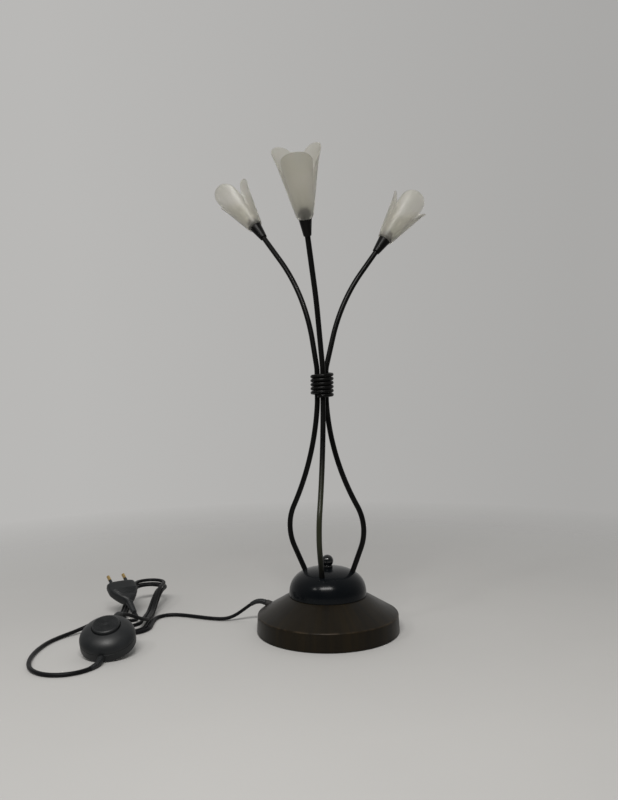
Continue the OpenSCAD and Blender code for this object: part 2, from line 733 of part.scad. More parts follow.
module finial_collar() {
    color("#1a1b1d") translate([0, 0, dome_top]) ring_of(collar_r, rod_d / 2 + fit, collar_h);
}

module ball_finial() {
    color("#121316") difference() {
        translate([0, 0, ball_z]) sphere(r = ball_r);
        translate([0, 0, dome_top + collar_h - ball_r]) cylinder(h = ball_r, r = 2 * ball_r);
        translate([0, 0, dome_top]) cylinder(h = rod_top + fit - dome_top, r = rod_d / 2 + fit);
    }
}

module coil_section(inset) {
    w = coil_r - coil_hole_r - 2 * inset;
    h = coil_h - 2 * inset;
    e = inset > 0 ? 1 : coil_edge;
    translate([coil_hole_r + inset, inset]) {
        translate([e, 0]) square([w - 2 * e, h]);
        translate([0, e]) square([w, h - 2 * e]);
        for (x = [e, w - e], y = [e, h - e]) translate([x, y]) circle(e);
    }
}

module transformer_winding() {
    color("#c79a3a") translate([0, 0, coil_z]) rotate_extrude() difference() {
        coil_section(0);
        coil_section(coil_wrap - fit);
    }
}

module transformer_core() {
    color("#75726c") translate([0, 0, coil_z]) rotate_extrude() coil_section(coil_wrap);
}

module transformer_pads() {
    pad_in = coil_hole_r + coil_edge;
    color("#1d1d1d") for (z = [plate_top, disc_z - pad_t]) translate([0, 0, z])
        ring_of(disc_r, pad_in, pad_t);
}

module clamping_disc() {
    color("#9c9a93") translate([0, 0, disc_z]) ring_of(disc_r, rod_d / 2 + fit, disc_t);
}

module on_ring_screws() {
    for (v = screw_dirs) rotate([0, 0, v - 90]) translate([screw_at, 0, ring_top - ring_h / 2])
        children();
}

module terminal_ring() {
    color("#dcd8c8") difference() {
        translate([0, 0, disc_top]) ring_of(ring_out, ring_in, ring_h);
        on_ring_screws() cylinder(h = ring_h, r = screw_r + fit);
    }
}

module terminal_screws() {
    color("#c2a13e") on_ring_screws() cylinder(h = ring_h / 2 + 1, r = screw_r);
}

module on_bush() {
    rotate([0, 0, bush_a - 90]) translate([bush_r, 0, bush_z]) rotate([0, bush_lean, 0]) children();
}

module on_plate_side() {
    rotate([0, 0, bush_a - 90]) translate([0, 0, plate_top]) children();
}

module on_clamp() {
    on_plate_side() for (s = [-1, 1]) translate([clamp_r, s * clamp_screw_at, 0]) children();
}

module winding_leads() {
    lift = disc_r + 3.5;
    color("#a83a2a") {
        for (s = [-1, 1]) on_plate_side() sweep([[coil_r + gap, s * fine_lead_gap, term_h / 2],
            [term_in, s * fine_lead_gap, term_h / 2]], fine_lead_d / 2, fine_sides);
        for (v = [100, 112]) rotate([0, 0, v])
            sweep([[lift, 0, coil_z + coil_h], [lift, 0, disc_top], [lift - 0.6, 0, disc_top + 2],
                [lift - 2, 0, disc_top + 3.4], [lift - 4, 0, disc_top + 4],
                [ring_out + gap, 0, disc_top + 4]], fine_lead_d / 2, fine_sides, [0, 1, 0]);
    }
}

module mains_terminal() {
    color("#e3dfd2") on_plate_side() translate([term_in, -term_w / 2, 0])
        cube([term_out - term_in, term_w, term_h]);
}

module mains_lead() {
    inner = [bush_r - bush_in * sin(bush_lean), bush_z - bush_in * cos(bush_lean)];
    outer = [bush_r + bush_h * sin(bush_lean), bush_z + bush_h * cos(bush_lean)];
    low = [clamp_r + clamp_len / 2 + 1, lead_z];
    span = inner - low;
    route = concat([outer, inner], [for (b = LEAD_BEND) low + [span[0] * b[0], span[1] * b[1]]],
        [low, [term_out, lead_z]]);
    color("#17171a") rotate([0, 0, bush_a - 90])
        sweep([for (p = route) [p[0], 0, p[1]]], cord_r, cord_sides, [0, 1, 0]);
}

module cord_clamp() {
    color("#d9d5c9") difference() {
        on_plate_side() translate([clamp_r - clamp_len / 2, -clamp_w / 2, 0])
            cube([clamp_len, clamp_w, clamp_h]);
        on_plate_side() translate([clamp_r - clamp_len, 0, cord_r]) rotate([0, 90, 0])
            cylinder(h = 2 * clamp_len, r = cord_r + fit);
        on_plate_side() translate([clamp_r - clamp_len, -cord_r - fit, -cord_r])
            cube([2 * clamp_len, cord_d + 2 * fit, cord_d]);
        on_clamp() translate([0, 0, -clamp_h]) cylinder(h = 3 * clamp_h, r = clamp_screw_r + fit);
    }
}

module clamp_screws() {
    color("#b3b0a8") on_clamp() {
        translate([0, 0, -plate_t]) cylinder(h = plate_t + clamp_h, r = clamp_screw_r);
        translate([0, 0, clamp_h]) cylinder(h = clamp_head_h, r = clamp_head_r);
    }
}

module cord_bush() {
    r = bush_d / 2;
    lip = 1;
    color("#111112") on_bush() rotate_extrude() polygon([[bush_bore_r, -bush_in], [r, -bush_in],
        [r, bush_h - lip], [r - lip, bush_h], [bush_bore_r, bush_h]]);
}

module arm_nuts() {
    nut_drop = 1.5;
    arm_nut_h = 4;
    color("#a8a59c") for (a = ARMS) on_leg(a)
        translate([0, 0, dome_hit(leg_point(a), leg_dir(a), dome_t) + nut_drop]) difference() {
            cylinder(h = arm_nut_h, r = nut_r, $fn = 6);
            translate([0, 0, -arm_nut_h]) cylinder(h = 3 * arm_nut_h, r = tube_r + fit);
        }
}

module binding_core() {
    core_h = 24;
    color("#2a2927") translate([bind_x, bind_y, bind_z - core_h / 2])
        cylinder(h = core_h, r = seat_r - tube_r - fit);
}

module binding_wire() {
    color("#1c1b19") sweep(wire_points, wire_d / 2, wire_sides);
}

module power_cord() {
    color("#121214") sweep(power_points, cord_r, cord_sides);
}

module cord_hank() {
    color("#121214") sweep(hank_points, cord_r, hank_sides);
}

module switch_cord() {
    color("#121214") sweep(switch_points, cord_r, cord_sides);
}

module plug_cord() {
    color("#121214") sweep(plug_points, cord_r, cord_sides);
}

module on_switch() {
    translate([switch_x, switch_y, switch_z]) rotate([switch_tilt, 0, 0]) children();
}

module on_posts() {
    for (v = post_dirs) rotate([0, 0, v]) translate([post_at, 0, 0]) children();
}

module switch_base() {
    color("#131315") on_switch() difference() {
        union() {
            cylinder(h = switch_low, r = switch_r);
            translate([0, -switch_face, switch_boss_z]) rotate([-90, 0, 0])
                cylinder(h = 2 * switch_face, r = switch_boss_r * 0.6);
        }
        difference() {
            translate([0, 0, switch_t]) cylinder(h = switch_low, r = switch_r - switch_t);
            on_posts() cylinder(h = switch_low, r = post_r);
        }
        on_posts() {
            translate([0, 0, -1]) cylinder(h = switch_low + 2, r = post_screw_r + fit);
            translate([0, 0, -1]) cylinder(h = 1 + post_head_h, r = post_head_r + fit);
        }
    }
}

module switch_cover() {
    rows = 8;
    function turn(k) = k * acos(cover_hole / switch_r) / rows;
    edge = [for (k = [0 : rows]) [switch_r * cos(turn(k)), cover_z(switch_r * cos(turn(k)), 0)]];
    inner_r = switch_r - switch_t;
    function fold(k) = k * acos(cover_hole / inner_r) / rows;
    lining = [for (k = [rows : -1 : 0]) [inner_r * cos(fold(k)),
        cover_z(inner_r * cos(fold(k)), switch_t)]];
    color("#131315") on_switch() difference() {
        rotate_extrude() polygon(concat(edge, lining));
        on_posts() translate([0, 0, switch_low - 1]) cylinder(h = 4, r = post_screw_r + fit);
    }
}

module switch_button() {
    color("#1a1a1d") on_switch() difference() {
        union() {
            translate([0, 0, button_low]) cylinder(h = flange_h, r = button_r + flange_w);
            translate([0, 0, button_low]) cylinder(h = button_top - button_crown - button_low,
                r = button_r);
            translate([0, 0, button_top - button_crown])
                cylinder(h = button_crown, r1 = button_r, r2 = button_r - 2 * button_crown);
            translate([0, 0, stem_low]) cylinder(h = button_low - stem_low + 1, r = stem_r);
        }
        difference() {
            translate([0, 0, button_low - 1])
                cylinder(h = button_top - button_low - button_wall + 1, r = button_r - button_wall);
            translate([0, 0, stem_low]) cylinder(h = switch_h, r = stem_r);
        }
    }
}

module switch_contacts() {
    color("#c8b070") on_switch() translate([0, 0, switch_t]) cylinder(h = contact_h, r = contact_r);
}

module switch_screws() {
    color("#a5a29a") on_switch() on_posts() {
        translate([0, 0, 0.2]) cylinder(h = post_head_h - 0.2, r = post_head_r);
        translate([0, 0, post_head_h]) cylinder(h = switch_low - post_head_h + 0.5,
            r = post_screw_r);
    }
}

module on_plug() {
    translate(plug_at) rotate([0, plug_tilt, plug_dir]) children();
}

module plug_body() {
    color("#151517") on_plug() difference() {
        union() {
            rotate([90, 0, 90]) translate([0, 0, -plug_t / 2]) linear_extrude(plug_t)
                polygon([[-plug_waist_w / 2, 0], [plug_waist_w / 2, 0],
                    [plug_w / 2 - 3, plug_len * 0.4], [plug_w / 2, plug_len * 0.6],
                    [plug_w / 2, plug_len - 1], [plug_w / 2 - 1, plug_len],
                    [1 - plug_w / 2, plug_len], [-plug_w / 2, plug_len - 1],
                    [-plug_w / 2, plug_len * 0.6], [3 - plug_w / 2, plug_len * 0.4]]);
            translate([0, 0, -relief_len]) cylinder(h = relief_len, r1 = relief_tip_r, r2 = relief_r);
        }
        for (s = [-1, 1]) translate([0, s * plug_pin_gap / 2, plug_len - pin_root])
            cylinder(h = 2 * pin_root, r = pin_r);
    }
}

module plug_pins() {
    color("#b8a878") on_plug() for (s = [-1, 1]) translate([0, s * plug_pin_gap / 2, plug_len]) {
        translate([0, 0, -pin_root]) cylinder(h = pin_root, r = pin_r);
        cylinder(h = pin_sleeve, r = pin_neck_r);
        translate([0, 0, pin_sleeve]) cylinder(h = pin_len - pin_sleeve - 1, r = pin_r);
        translate([0, 0, pin_len - 1]) cylinder(h = 1, r1 = pin_r, r2 = pin_r / 2);
    }
}

module plug_sleeves() {
    color("#151517") on_plug() for (s = [-1, 1]) translate([0, s * plug_pin_gap / 2, plug_len])
        ring_of(pin_r, pin_neck_r, pin_sleeve);
}

foot_pad();
bottom_plate();
base_shell();
dome_cover();
tie_rod();
rod_nuts();
finial_collar();
ball_finial();
transformer_winding();
transformer_core();
transformer_pads();
clamping_disc();
terminal_ring();
terminal_screws();
winding_leads();
mains_terminal();
mains_lead();
cord_clamp();
clamp_screws();
cord_bush();
arm(LEFT);  // arm_left
arm(FRONT);  // arm_front
arm(RIGHT);  // arm_right
arm_nuts();
binding_core();
binding_wire();
cup(LEFT);  // cup_left
cup(FRONT);  // cup_front
cup(RIGHT);  // cup_right
holder(LEFT);  // holder_left
holder(FRONT);  // holder_front
holder(RIGHT);  // holder_right
bulb(LEFT);  // bulb_left
bulb(FRONT);  // bulb_front
bulb(RIGHT);  // bulb_right
bulb_pins();
shade_rings();
shade(LEFT);  // shade_left
shade(FRONT);  // shade_front
shade(RIGHT);  // shade_right
lead(LEFT);  // lead_left
lead(FRONT);  // lead_front
lead(RIGHT);  // lead_right
power_cord();
cord_hank();
switch_cord();
plug_cord();
plug_body();
plug_pins();
plug_sleeves();
switch_base();
switch_cover();
switch_button();
switch_contacts();
switch_screws();
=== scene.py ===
import json
import math

import bpy
import numpy as np
from mathutils import Matrix

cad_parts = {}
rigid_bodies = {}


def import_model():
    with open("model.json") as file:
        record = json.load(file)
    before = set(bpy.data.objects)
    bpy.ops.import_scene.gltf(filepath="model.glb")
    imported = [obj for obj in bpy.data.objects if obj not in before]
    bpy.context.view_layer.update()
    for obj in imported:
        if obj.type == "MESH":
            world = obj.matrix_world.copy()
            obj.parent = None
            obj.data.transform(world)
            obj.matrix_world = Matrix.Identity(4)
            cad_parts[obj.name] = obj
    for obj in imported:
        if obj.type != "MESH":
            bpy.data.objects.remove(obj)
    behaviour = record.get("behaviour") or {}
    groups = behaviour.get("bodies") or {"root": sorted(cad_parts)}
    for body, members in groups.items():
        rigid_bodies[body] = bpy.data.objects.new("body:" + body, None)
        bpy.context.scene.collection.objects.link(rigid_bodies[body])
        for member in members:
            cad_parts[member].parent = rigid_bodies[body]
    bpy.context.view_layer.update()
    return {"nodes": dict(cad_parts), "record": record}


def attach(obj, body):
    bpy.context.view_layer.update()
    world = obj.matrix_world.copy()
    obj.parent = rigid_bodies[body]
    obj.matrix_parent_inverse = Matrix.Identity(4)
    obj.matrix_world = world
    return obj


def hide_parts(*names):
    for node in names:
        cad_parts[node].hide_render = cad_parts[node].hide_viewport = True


bl_info = {
    "name": "Tulip Shade Table Lamp",
    "version": (1, 0, 0),
    "blender": (4, 5, 0),
    "location": "3D View > Sidebar > Tulip Lamp",
    "description": "Surfaces, finishes, cord and studio of a table lamp with three glass flowers",
    "category": "Add Mesh",
}

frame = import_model()
MM = 0.001

# Camera: place and axes, worked out from the photograph
CAMERA_PLACE = (0.0, -896.0, 276.75)
CAMERA_RIGHT = (0.99971, 0.0202, -0.0130)
CAMERA_UP = (0.0126, 0.0195, 0.9997)

# Arms, in degrees and millimetres; azimuths run from the front towards the right
ARMS = {
    "left": dict(seat=-109.9, up=-126.3, kick=10.5, run=27, flare=29.7, end=38.6, down=-112.9,
                 bow=21.1, elbow=52, turn=90, glass=81, mouth=0.92),
    "front": dict(seat=9.4, up=-14.2, kick=18.2, run=57.5, flare=8.7, end=56, down=-8.9,
                  bow=22.5, elbow=49.7, turn=12, glass=89.5, mouth=1.0),
    "right": dict(seat=128.4, up=116.5, kick=14.8, run=31.6, flare=23.5, end=31.7, down=77.8,
                  bow=24.3, elbow=49, turn=15, glass=81.5, mouth=0.92),
}
BINDING = np.array([-3.5, 1.0, 276.4])
SEAT_R = 5.8
SEAT_RUN = 14.0
KICK_LEN = 8.0
FLARE_RADIUS = 206.6
LEAD_BEND = (12.0, 4.7)
BOW_LEN = 115.8
ELBOW_LEN = 48.6
FOOT_IN = 12.0
TUBE_IN = 3.5
LEG_MOST = 80.0

# Painted highlight: a khaki band on the front side of the front tube, in metres of the frame:
# where it begins and where it is full, going forwards, at its top and at its foot, and its
# strength
KHAKI_FRONT = (-0.012, -0.022)
KHAKI_TOP = (0.20, 0.15)
KHAKI_FOOT = (0.07, 0.105)
KHAKI_MOST = 0.85

# Foot and dome
RIM_R = 79.0
RIM_Z = 20.0
LEDGE_Z = 40.3
LEDGE_R = 44.4
LEDGE_IN_R = 44.0
FOOT_HOLE_R = 36.9
FOOT_SHEET = 1.5
FOOT_EDGE_Z = 1.0
# Lighter brown of the rim's edge: a painted highlight, partly wear
EDGE_SHEEN_AND_WEAR = (0.060, 0.042, 0.024)
DOME_R = 43.4
DOME_H = 31.0
DOME_FULL = 2.58
DOME_T = 1.5
DOME_TOP = LEDGE_Z + DOME_H
DOME_HOLE_R = 3.2
COLLAR_HOLE_R = 3.1
COLLAR_R = 5.9
COLLAR_H = 2.7
BALL_CUT = 0.7  # how far below its middle the ball is cut, as a share of its radius

# Binding
TUBE_R = 3.0
WIRE_SLACK = 0.3
WIRE_TURNS = 5.5
WIRE_START = -12.0
WIRE_TRIM = 9.0
WIRE_BEND = 2.6

# Cup and bulb, measured along the cup's axis
CUP_HOLE_R = 3.15
CUP_FOOT_R = 4.2
CUP_RIM_R = 7.0
CUP_IN_R = 6.2
CUP_FLOOR_R = 3.5
CUP_FLOOR = 1.4
BULB_FOOT = 30.0
BULB_TOP = 55.0
BULB_R = 4.6

# Glass flower on its cup, measured along the cup's axis
GLASS_FOOT = 18.5
GLASS_FLOOR = 21.5
GLASS_FOOT_R = 7.6
GLASS_HOLE_R = 4.75
NECK_R = 9.1
NECK_Z = 21.0
BELL_SHARE = 0.75
FLARE_H = 20.0
FLARE_POWER = 2.4
PETAL_SHARE = 0.60
PETAL_TOP = 12.5  # height of a petal's rounded top
PETAL_POWER = 2.3  # how square that top is
PETAL_EVEN = 0.25  # share of the columns' spacing that is even
PETAL_LOWEST = 45.0
PETAL_CUPPING = 0.9
PETAL_DROP = 0.3
LIP_ROOM = 0.9
FURROW_POWER = 7
FURROW_FROM = 34.0
FURROW_RUN = 22.0

# Foot switch and plug
SWITCH_AT = np.array([-228.0, -75.6, 10.78])
SWITCH_TILT = 22.0
SWITCH_R = 28.5
SWITCH_LOW = 9.0
SWITCH_HIGH = 25.0
SWITCH_WALL = 2.0
SWITCH_FACE = 30.5
BOSS_Z = 6.5
BUTTON_HOLE_R = 14.5
BUTTON_R = 14.2
BUTTON_UP = 3.4
RIDGE_STEP = 1.25
RIDGE_DEEP = 0.32
PLUG_AT = np.array([-238.0, 52.3, 19.5])
PLUG_TILT = 64.5
PLUG_DIR = 123.7
RIB_DEEP = 0.25
RIB_PITCH = 3.0
GRIP_DEEP = 0.35
GRIP_PITCH = 2.4
GRIP_WIDE = 0.75

# Points along the cord, the same as the frame's
BUSH_R = 74.0
BUSH_H = 3.5
BUSH_AZIMUTH = -112.0
BUSH_LEAN = 75.0
POWER_ROUTE = [[-76.7, 31, 25], [-80.6, 32.4, 24.8], [-84.1, 33.6, 23.9], [-88.5, 34.9, 21.5],
               [-94.8, 36.2, 16.9], [-101, 37, 12.3], [-107, 37.3, 8], [-114.5, 37.4, 4.3],
               [-123, 37.8, 2.5], [-133, 39.5, 2.4], [-143.5, 43, 2.4], [-154.5, 47.6, 2.4],
               [-165.3, 52.4, 2.4], [-175.5, 56, 2.4], [-185.6, 57.7, 2.4],
               [-192.9, 56.3, 2.4], [-199, 52.1, 2.4], [-203.2, 46, 2.4]]
SWITCH_ROUTE = [[-208.2, 15.4, 9.3], [-209.2, 4.1, 12.7], [-213.7, -8.3, 18.1],
                [-221, -17, 24.3], [-225.8, -27.5, 27.9], [-227.4, -36.3, 30.9]]
PLUG_ROUTE = [[-230, -120, 2.4], [-236, -131, 2.4], [-248, -140, 2.4], [-264, -143, 2.4],
              [-280, -138, 2.4], [-293, -125, 2.4], [-301, -106, 2.4], [-305, -84, 2.4],
              [-305, -60, 2.4], [-301, -38, 2.4], [-292, -20, 2.4], [-280, -8, 4.5],
              [-267, -1, 9.5], [-254.5, 1, 12.9], [-241.6, 1.7, 13.4], [-233.9, 3.2, 12],
              [-227.5, 7.6, 9.9], [-223.1, 14, 8.2], [-221.6, 21.7, 7.4], [-222.6, 27.9, 7.9]]
HANK_X = -228.0
HANK_Y = 62.0
HANK_HALF = 25.0
HANK_RUN = 107.0
HANK_STEP = 5.8
HANK_LAYER = 5.6
HANK_WAIST = 0.1
HANK_RISE = 18.0
HANK_START = 0.2
HANK_LOOPS = 3.0
HANK_TURN_BACK = 2.125
HANK_CLIMB = 0.25
RISE_FROM = 45.0
RISE_LEN = 60.0
CORD_FLOOR = 2.4
CORD_D = 4.4
CORD_STEPS = 8
CORD_GAP = 1.6
CORD_SIDES = 20
CORD_DIP = 0.17
CORD_DIP_WIDE = 0.42
RELIEF_R = 3.3
RELIEF_TAPER = 0.95
RELIEF_RING = 0.12
RELIEF_PITCH = 2.5
RELIEF_RINGED = 0.86
FLOOR_GAP = 0.05

# Studio, in metres
FLOOR_FADE = (0.28, 1.0)
LIGHT_AIM = (0.0, 0.0, 0.25)
LIGHT_COLOUR = (1.0, 0.985, 0.96)
ROOM_COLOUR = (1.0, 0.99, 0.97)


# ---------------------------------------------------------------- shapes


def unit(v):
    """Vectors along the last axis, each divided by its own length."""
    return v / np.maximum(np.linalg.norm(v, axis=-1, keepdims=True), 1e-9)


def turn_z(degrees):
    """Matrix of a turn about Z, from X towards Y."""
    c, s = math.cos(math.radians(degrees)), math.sin(math.radians(degrees))
    return np.array([[c, -s, 0], [s, c, 0], [0, 0, 1]])


def turn_y(degrees):
    """Matrix of a turn about Y, from Z towards X."""
    c, s = math.cos(math.radians(degrees)), math.sin(math.radians(degrees))
    return np.array([[c, 0, s], [0, 1, 0], [-s, 0, c]])


def turn_x(degrees):
    """Matrix of a turn about X, from Y towards Z."""
    c, s = math.cos(math.radians(degrees)), math.sin(math.radians(degrees))
    return np.array([[1, 0, 0], [0, c, -s], [0, s, c]])


def outwards(azimuth):
    """Level direction at an azimuth: x = sin, y = -cos."""
    f = math.radians(azimuth)
    return np.array([math.sin(f), -math.cos(f), 0.0])


def ring_faces(rows, cols, loop=False):
    """Quads of a grid whose columns close into a ring; with loop the last row joins the first."""
    i = np.arange(rows if loop else rows - 1)[:, None]
    j = np.arange(cols)[None, :]
    k = (j + 1) % cols
    low, high = i * cols, ((i + 1) % rows) * cols
    return np.stack([low + j, low + k, high + k, high + j], -1).reshape(-1, 4)


def capped(grid):
    """Points and faces of a run of rings; each end ring closes in a fan on its own middle."""
    rows, cols = grid.shape[:2]
    points = np.concatenate([grid.reshape(-1, 3), grid[:1].mean(1), grid[-1:].mean(1)])
    j = np.arange(cols)
    k = (j + 1) % cols
    top = (rows - 1) * cols
    first = np.full(cols, rows * cols)
    return points, [ring_faces(rows, cols), np.stack([first, k, j], -1),
                    np.stack([first + 1, top + j, top + k], -1)]


def looped(grid):
    """Points and faces of rings whose last row joins the first, as a shell with a wall has."""
    rows, cols = grid.shape[:2]
    return grid.reshape(-1, 3), [ring_faces(rows, cols, loop=True)]


def new_piece(name, shape, finish, body="lamp", sharp=38.0, stands_for=()):
    """Puts points in millimetres and their faces into a mesh, turned so that the volume inside
    the faces, the sum of a . (b x c) over the triangles, comes out positive."""
    points, faces = shape
    points = points * MM
    tris = np.concatenate([f[:, :3] for f in faces]
                          + [f[:, [0, 2, 3]] for f in faces if f.shape[1] == 4])
    a, b, c = (points[tris[:, i]] for i in range(3))
    if np.einsum("ij,ij->", a, np.cross(b, c)) < 0:
        faces = [f[:, ::-1] for f in faces]
    corners = np.concatenate([f.ravel() for f in faces])
    sizes = np.concatenate([np.full(len(f), f.shape[1]) for f in faces])
    starts = np.concatenate([[0], np.cumsum(sizes)[:-1]])
    mesh = bpy.data.meshes.new(name)
    mesh.vertices.add(len(points))
    mesh.vertices.foreach_set("co", points.astype(np.float32).ravel())
    mesh.loops.add(len(corners))
    mesh.loops.foreach_set("vertex_index", corners.astype(np.int32))
    mesh.polygons.add(len(sizes))
    mesh.polygons.foreach_set("loop_start", starts.astype(np.int32))
    mesh.update(calc_edges=True)
    mesh.validate()
    mesh.polygons.foreach_set("use_smooth", np.ones(len(mesh.polygons), bool))
    mesh.set_sharp_from_angle(angle=math.radians(sharp))
    mesh.materials.append(bpy.data.materials[finish])
    piece = bpy.data.objects.new(name, mesh)
    bpy.context.scene.collection.objects.link(piece)
    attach(piece, body)
    if stands_for:
        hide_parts(*stands_for)
    return piece


def several(shapes):
    """Points and faces of several closed shapes in one mesh."""
    points, faces, shift = [], [], 0
    for p, f in shapes:
        points.append(p)
        faces.extend(q + shift for q in f)
        shift += len(p)
    return np.concatenate(points), faces


def soft_corners(points, cut, loop=True, steps=5):
    """A profile with its corners rounded: corner P gives way to the curve
    (1-t)^2 A + 2t(1-t) P + t^2 B, with A and B a cut away from P on its two sides."""
    p = np.asarray(points, float)
    back, ahead = np.roll(p, 1, 0) - p, np.roll(p, -1, 0) - p
    cut = np.broadcast_to(np.asarray(cut, float), len(p))
    reach = [np.minimum(cut, 0.45 * np.linalg.norm(d, axis=1))[:, None] for d in (back, ahead)]
    a = (p + unit(back) * reach[0])[:, None]
    b = (p + unit(ahead) * reach[1])[:, None]
    t = np.linspace(0, 1, steps)[None, :, None]
    curve = (1 - t) ** 2 * a + 2 * t * (1 - t) * p[:, None] + t**2 * b
    if loop:
        return curve.reshape(-1, 2)
    return np.concatenate([p[:1], curve[1:-1].reshape(-1, 2), p[-1:]])


def finer(profile, gap, loop=True):
    """The same profile with points added so that none is further than a gap from the next."""
    ends = np.roll(profile, -1, 0) if loop else profile[1:]
    starts = profile if loop else profile[:-1]
    counts = np.maximum(1, np.ceil(np.linalg.norm(ends - starts, axis=1) / gap)).astype(int)
    which = np.repeat(np.arange(len(counts)), counts)
    share = (np.arange(counts.sum()) - np.repeat(np.cumsum(counts) - counts, counts))
    t = (share / counts[which])[:, None]
    out = starts[which] * (1 - t) + ends[which] * t
    return out if loop else np.concatenate([out, profile[-1:]])


def turned(profile, cols=144):
    """A profile of (radius, height) turned round Z: x = r cos a, y = r sin a."""
    a = 2 * np.pi * np.arange(cols) / cols
    r, z = profile[:, :1], profile[:, 1:]
    return np.stack([r * np.cos(a), r * np.sin(a), z + 0 * a], -1)


def rings_along(path, ways, radius, sides, up=(0.0, 0.0, 1.0), section=None):
    """Rings square to a path: p + r (s cos a + u sin a), with s = way x up and u = s x way.
    A section, if given, scales r by the angle a."""
    s = unit(np.cross(ways, np.asarray(up, float)))
    u = np.cross(s, ways)
    a = 2 * np.pi * np.arange(sides) / sides
    r = np.broadcast_to(radius, len(path))[:, None] * (1 if section is None else section(a))
    r = (r + 0 * a)[..., None]
    return (path[:, None] + r * (s[:, None] * np.cos(a)[None, :, None]
                                 + u[:, None] * np.sin(a)[None, :, None]))


def ways_of(path):
    """Directions along a path, from each point's neighbours."""
    return unit(np.gradient(path, axis=0))


def spline(points, steps):
    """Uniform cubic B-spline: each span is (P0 (1-t)^3 + P1 (3t^3 - 6t^2 + 4)
    + P2 (-3t^3 + 3t^2 + 3t + 1) + P3 t^3) / 6; mirrored end points make it start and stop
    on the first and last point."""
    p = np.asarray(points, float)
    p = np.concatenate([2 * p[:1] - p[1:2], p, 2 * p[-1:] - p[-2:-1]])
    t = (np.arange(steps) / steps)[None, :, None]
    a, b, c, d = (p[i : len(p) - 3 + i, None] for i in range(4))
    out = (a * (1 - t) ** 3 + b * (3 * t**3 - 6 * t**2 + 4)
           + c * (-3 * t**3 + 3 * t**2 + 3 * t + 1) + d * t**3) / 6
    return np.concatenate([out.reshape(-1, 3), p[-2:-1]])


def evenly(path, gap):
    """The same path with points every gap, found by its running length."""
    run = np.concatenate([[0], np.cumsum(np.linalg.norm(np.diff(path, axis=0), axis=1))])
    at = np.linspace(0, run[-1], max(2, int(round(run[-1] / gap)) + 1))
    return np.stack([np.interp(at, run, path[:, i]) for i in range(3)], -1), run[-1]


def bent_path(steps, spacing=1.2):
    """Out, along and lean of a path of straights and arcs. An arc of length L that bends by b
    has R = L / b, out = R (cos lean - cos(lean + b)), along = R (sin(lean + b) - sin lean)."""
    rows = [np.zeros((1, 3))]
    for length, bend in steps:
        out, along, lean = rows[-1][-1]
        share = np.arange(1, max(2, math.ceil(length / spacing)) + 1)
        share = share / share[-1]
        turn = math.radians(bend) * share
        if abs(bend) < 1e-9:
            o, z = length * share * math.sin(lean), length * share * math.cos(lean)
        else:
            r = length / math.radians(bend)
            o = r * (math.cos(lean) - np.cos(lean + turn))
            z = r * (np.sin(lean + turn) - math.sin(lean))
        rows.append(np.stack([out + o, along + z, lean + turn], -1))
    return np.concatenate(rows)


def seat_of(arm):
    """Where a tube lies in the binding: on a circle round its middle."""
    return BINDING + SEAT_R * outwards(arm["seat"])


def up_steps(arm):
    """Straights and arcs of an arm from the binding to its cup."""
    return [(SEAT_RUN, 0), (KICK_LEN, arm["kick"]), (arm["run"], 0),
            (FLARE_RADIUS * math.radians(arm["flare"]), arm["flare"]), (arm["end"], 0)]


def down_steps(arm):
    """Straights and arcs of an arm from the binding to its last straight above the dome."""
    return [(SEAT_RUN, 0), LEAD_BEND, (BOW_LEN, arm["bow"]), (ELBOW_LEN, -arm["elbow"])]


def leg_run(arm):
    """Length from the elbow's end to the dome: the point p + m d halves its way to where
    (radius / dome radius)^n + (height / dome height)^n = 1."""
    out, along, lean = bent_path(down_steps(arm))[-1]
    p = seat_of(arm) + out * outwards(arm["down"]) - np.array([0, 0, along])
    d = math.sin(lean) * outwards(arm["down"]) - np.array([0, 0, math.cos(lean)])
    low, high = 0.0, LEG_MOST
    for _ in range(24):
        m = (low + high) / 2
        x, y, z = p + m * d
        side = (math.hypot(x, y) / DOME_R) ** DOME_FULL
        side += (max(z - LEDGE_Z, 0) / DOME_H) ** DOME_FULL
        low, high = (m, high) if side > 1 else (low, m)
    return low


def arm_path(arm):
    """Points and directions of a whole tube, from inside the dome up into its cup."""
    down = bent_path(down_steps(arm) + [(leg_run(arm) + FOOT_IN, 0)])[:0:-1]
    up = bent_path(up_steps(arm) + [(TUBE_IN, 0)])
    parts, ways = [], []
    for rows, azimuth, side in ((down, arm["down"], -1), (up, arm["up"], 1)):
        o, z = outwards(azimuth), np.array([0.0, 0.0, 1.0])
        parts.append(seat_of(arm) + rows[:, :1] * o + side * rows[:, 1:2] * z)
        ways.append(side * np.sin(rows[:, 2:]) * o + np.cos(rows[:, 2:]) * z)
    return np.concatenate(parts), np.concatenate(ways)


def on_cup(shape, arm):
    """A shape from the cup's own axis to the frame: a turn about the axis, the cup's lean, the
    step out to the arm's end and the arm's azimuth."""
    points, faces = shape
    out, along, lean = bent_path(up_steps(arm))[-1]
    local = points @ (turn_y(math.degrees(lean)) @ turn_z(arm["turn"])).T
    local = (local + np.array([out, 0, along])) @ turn_z(arm["up"] - 90).T
    return seat_of(arm) + local, faces


def smooth(v):
    """Eased step from 0 to 1: v^2 (3 - 2v)."""
    v = np.clip(v, 0, 1)
    return v * v * (3 - 2 * v)


def dome_profile(rows, r, h):
    """Superellipse from its foot to its top: (r cos^(2/n) v, h sin^(2/n) v)."""
    v = np.pi / 2 * smooth(np.linspace(0, 1, rows))
    v = np.clip(v, 0.0004, np.pi / 2 - 0.0006)
    return np.stack([r * np.cos(v) ** (2 / DOME_FULL), h * np.sin(v) ** (2 / DOME_FULL)], -1)


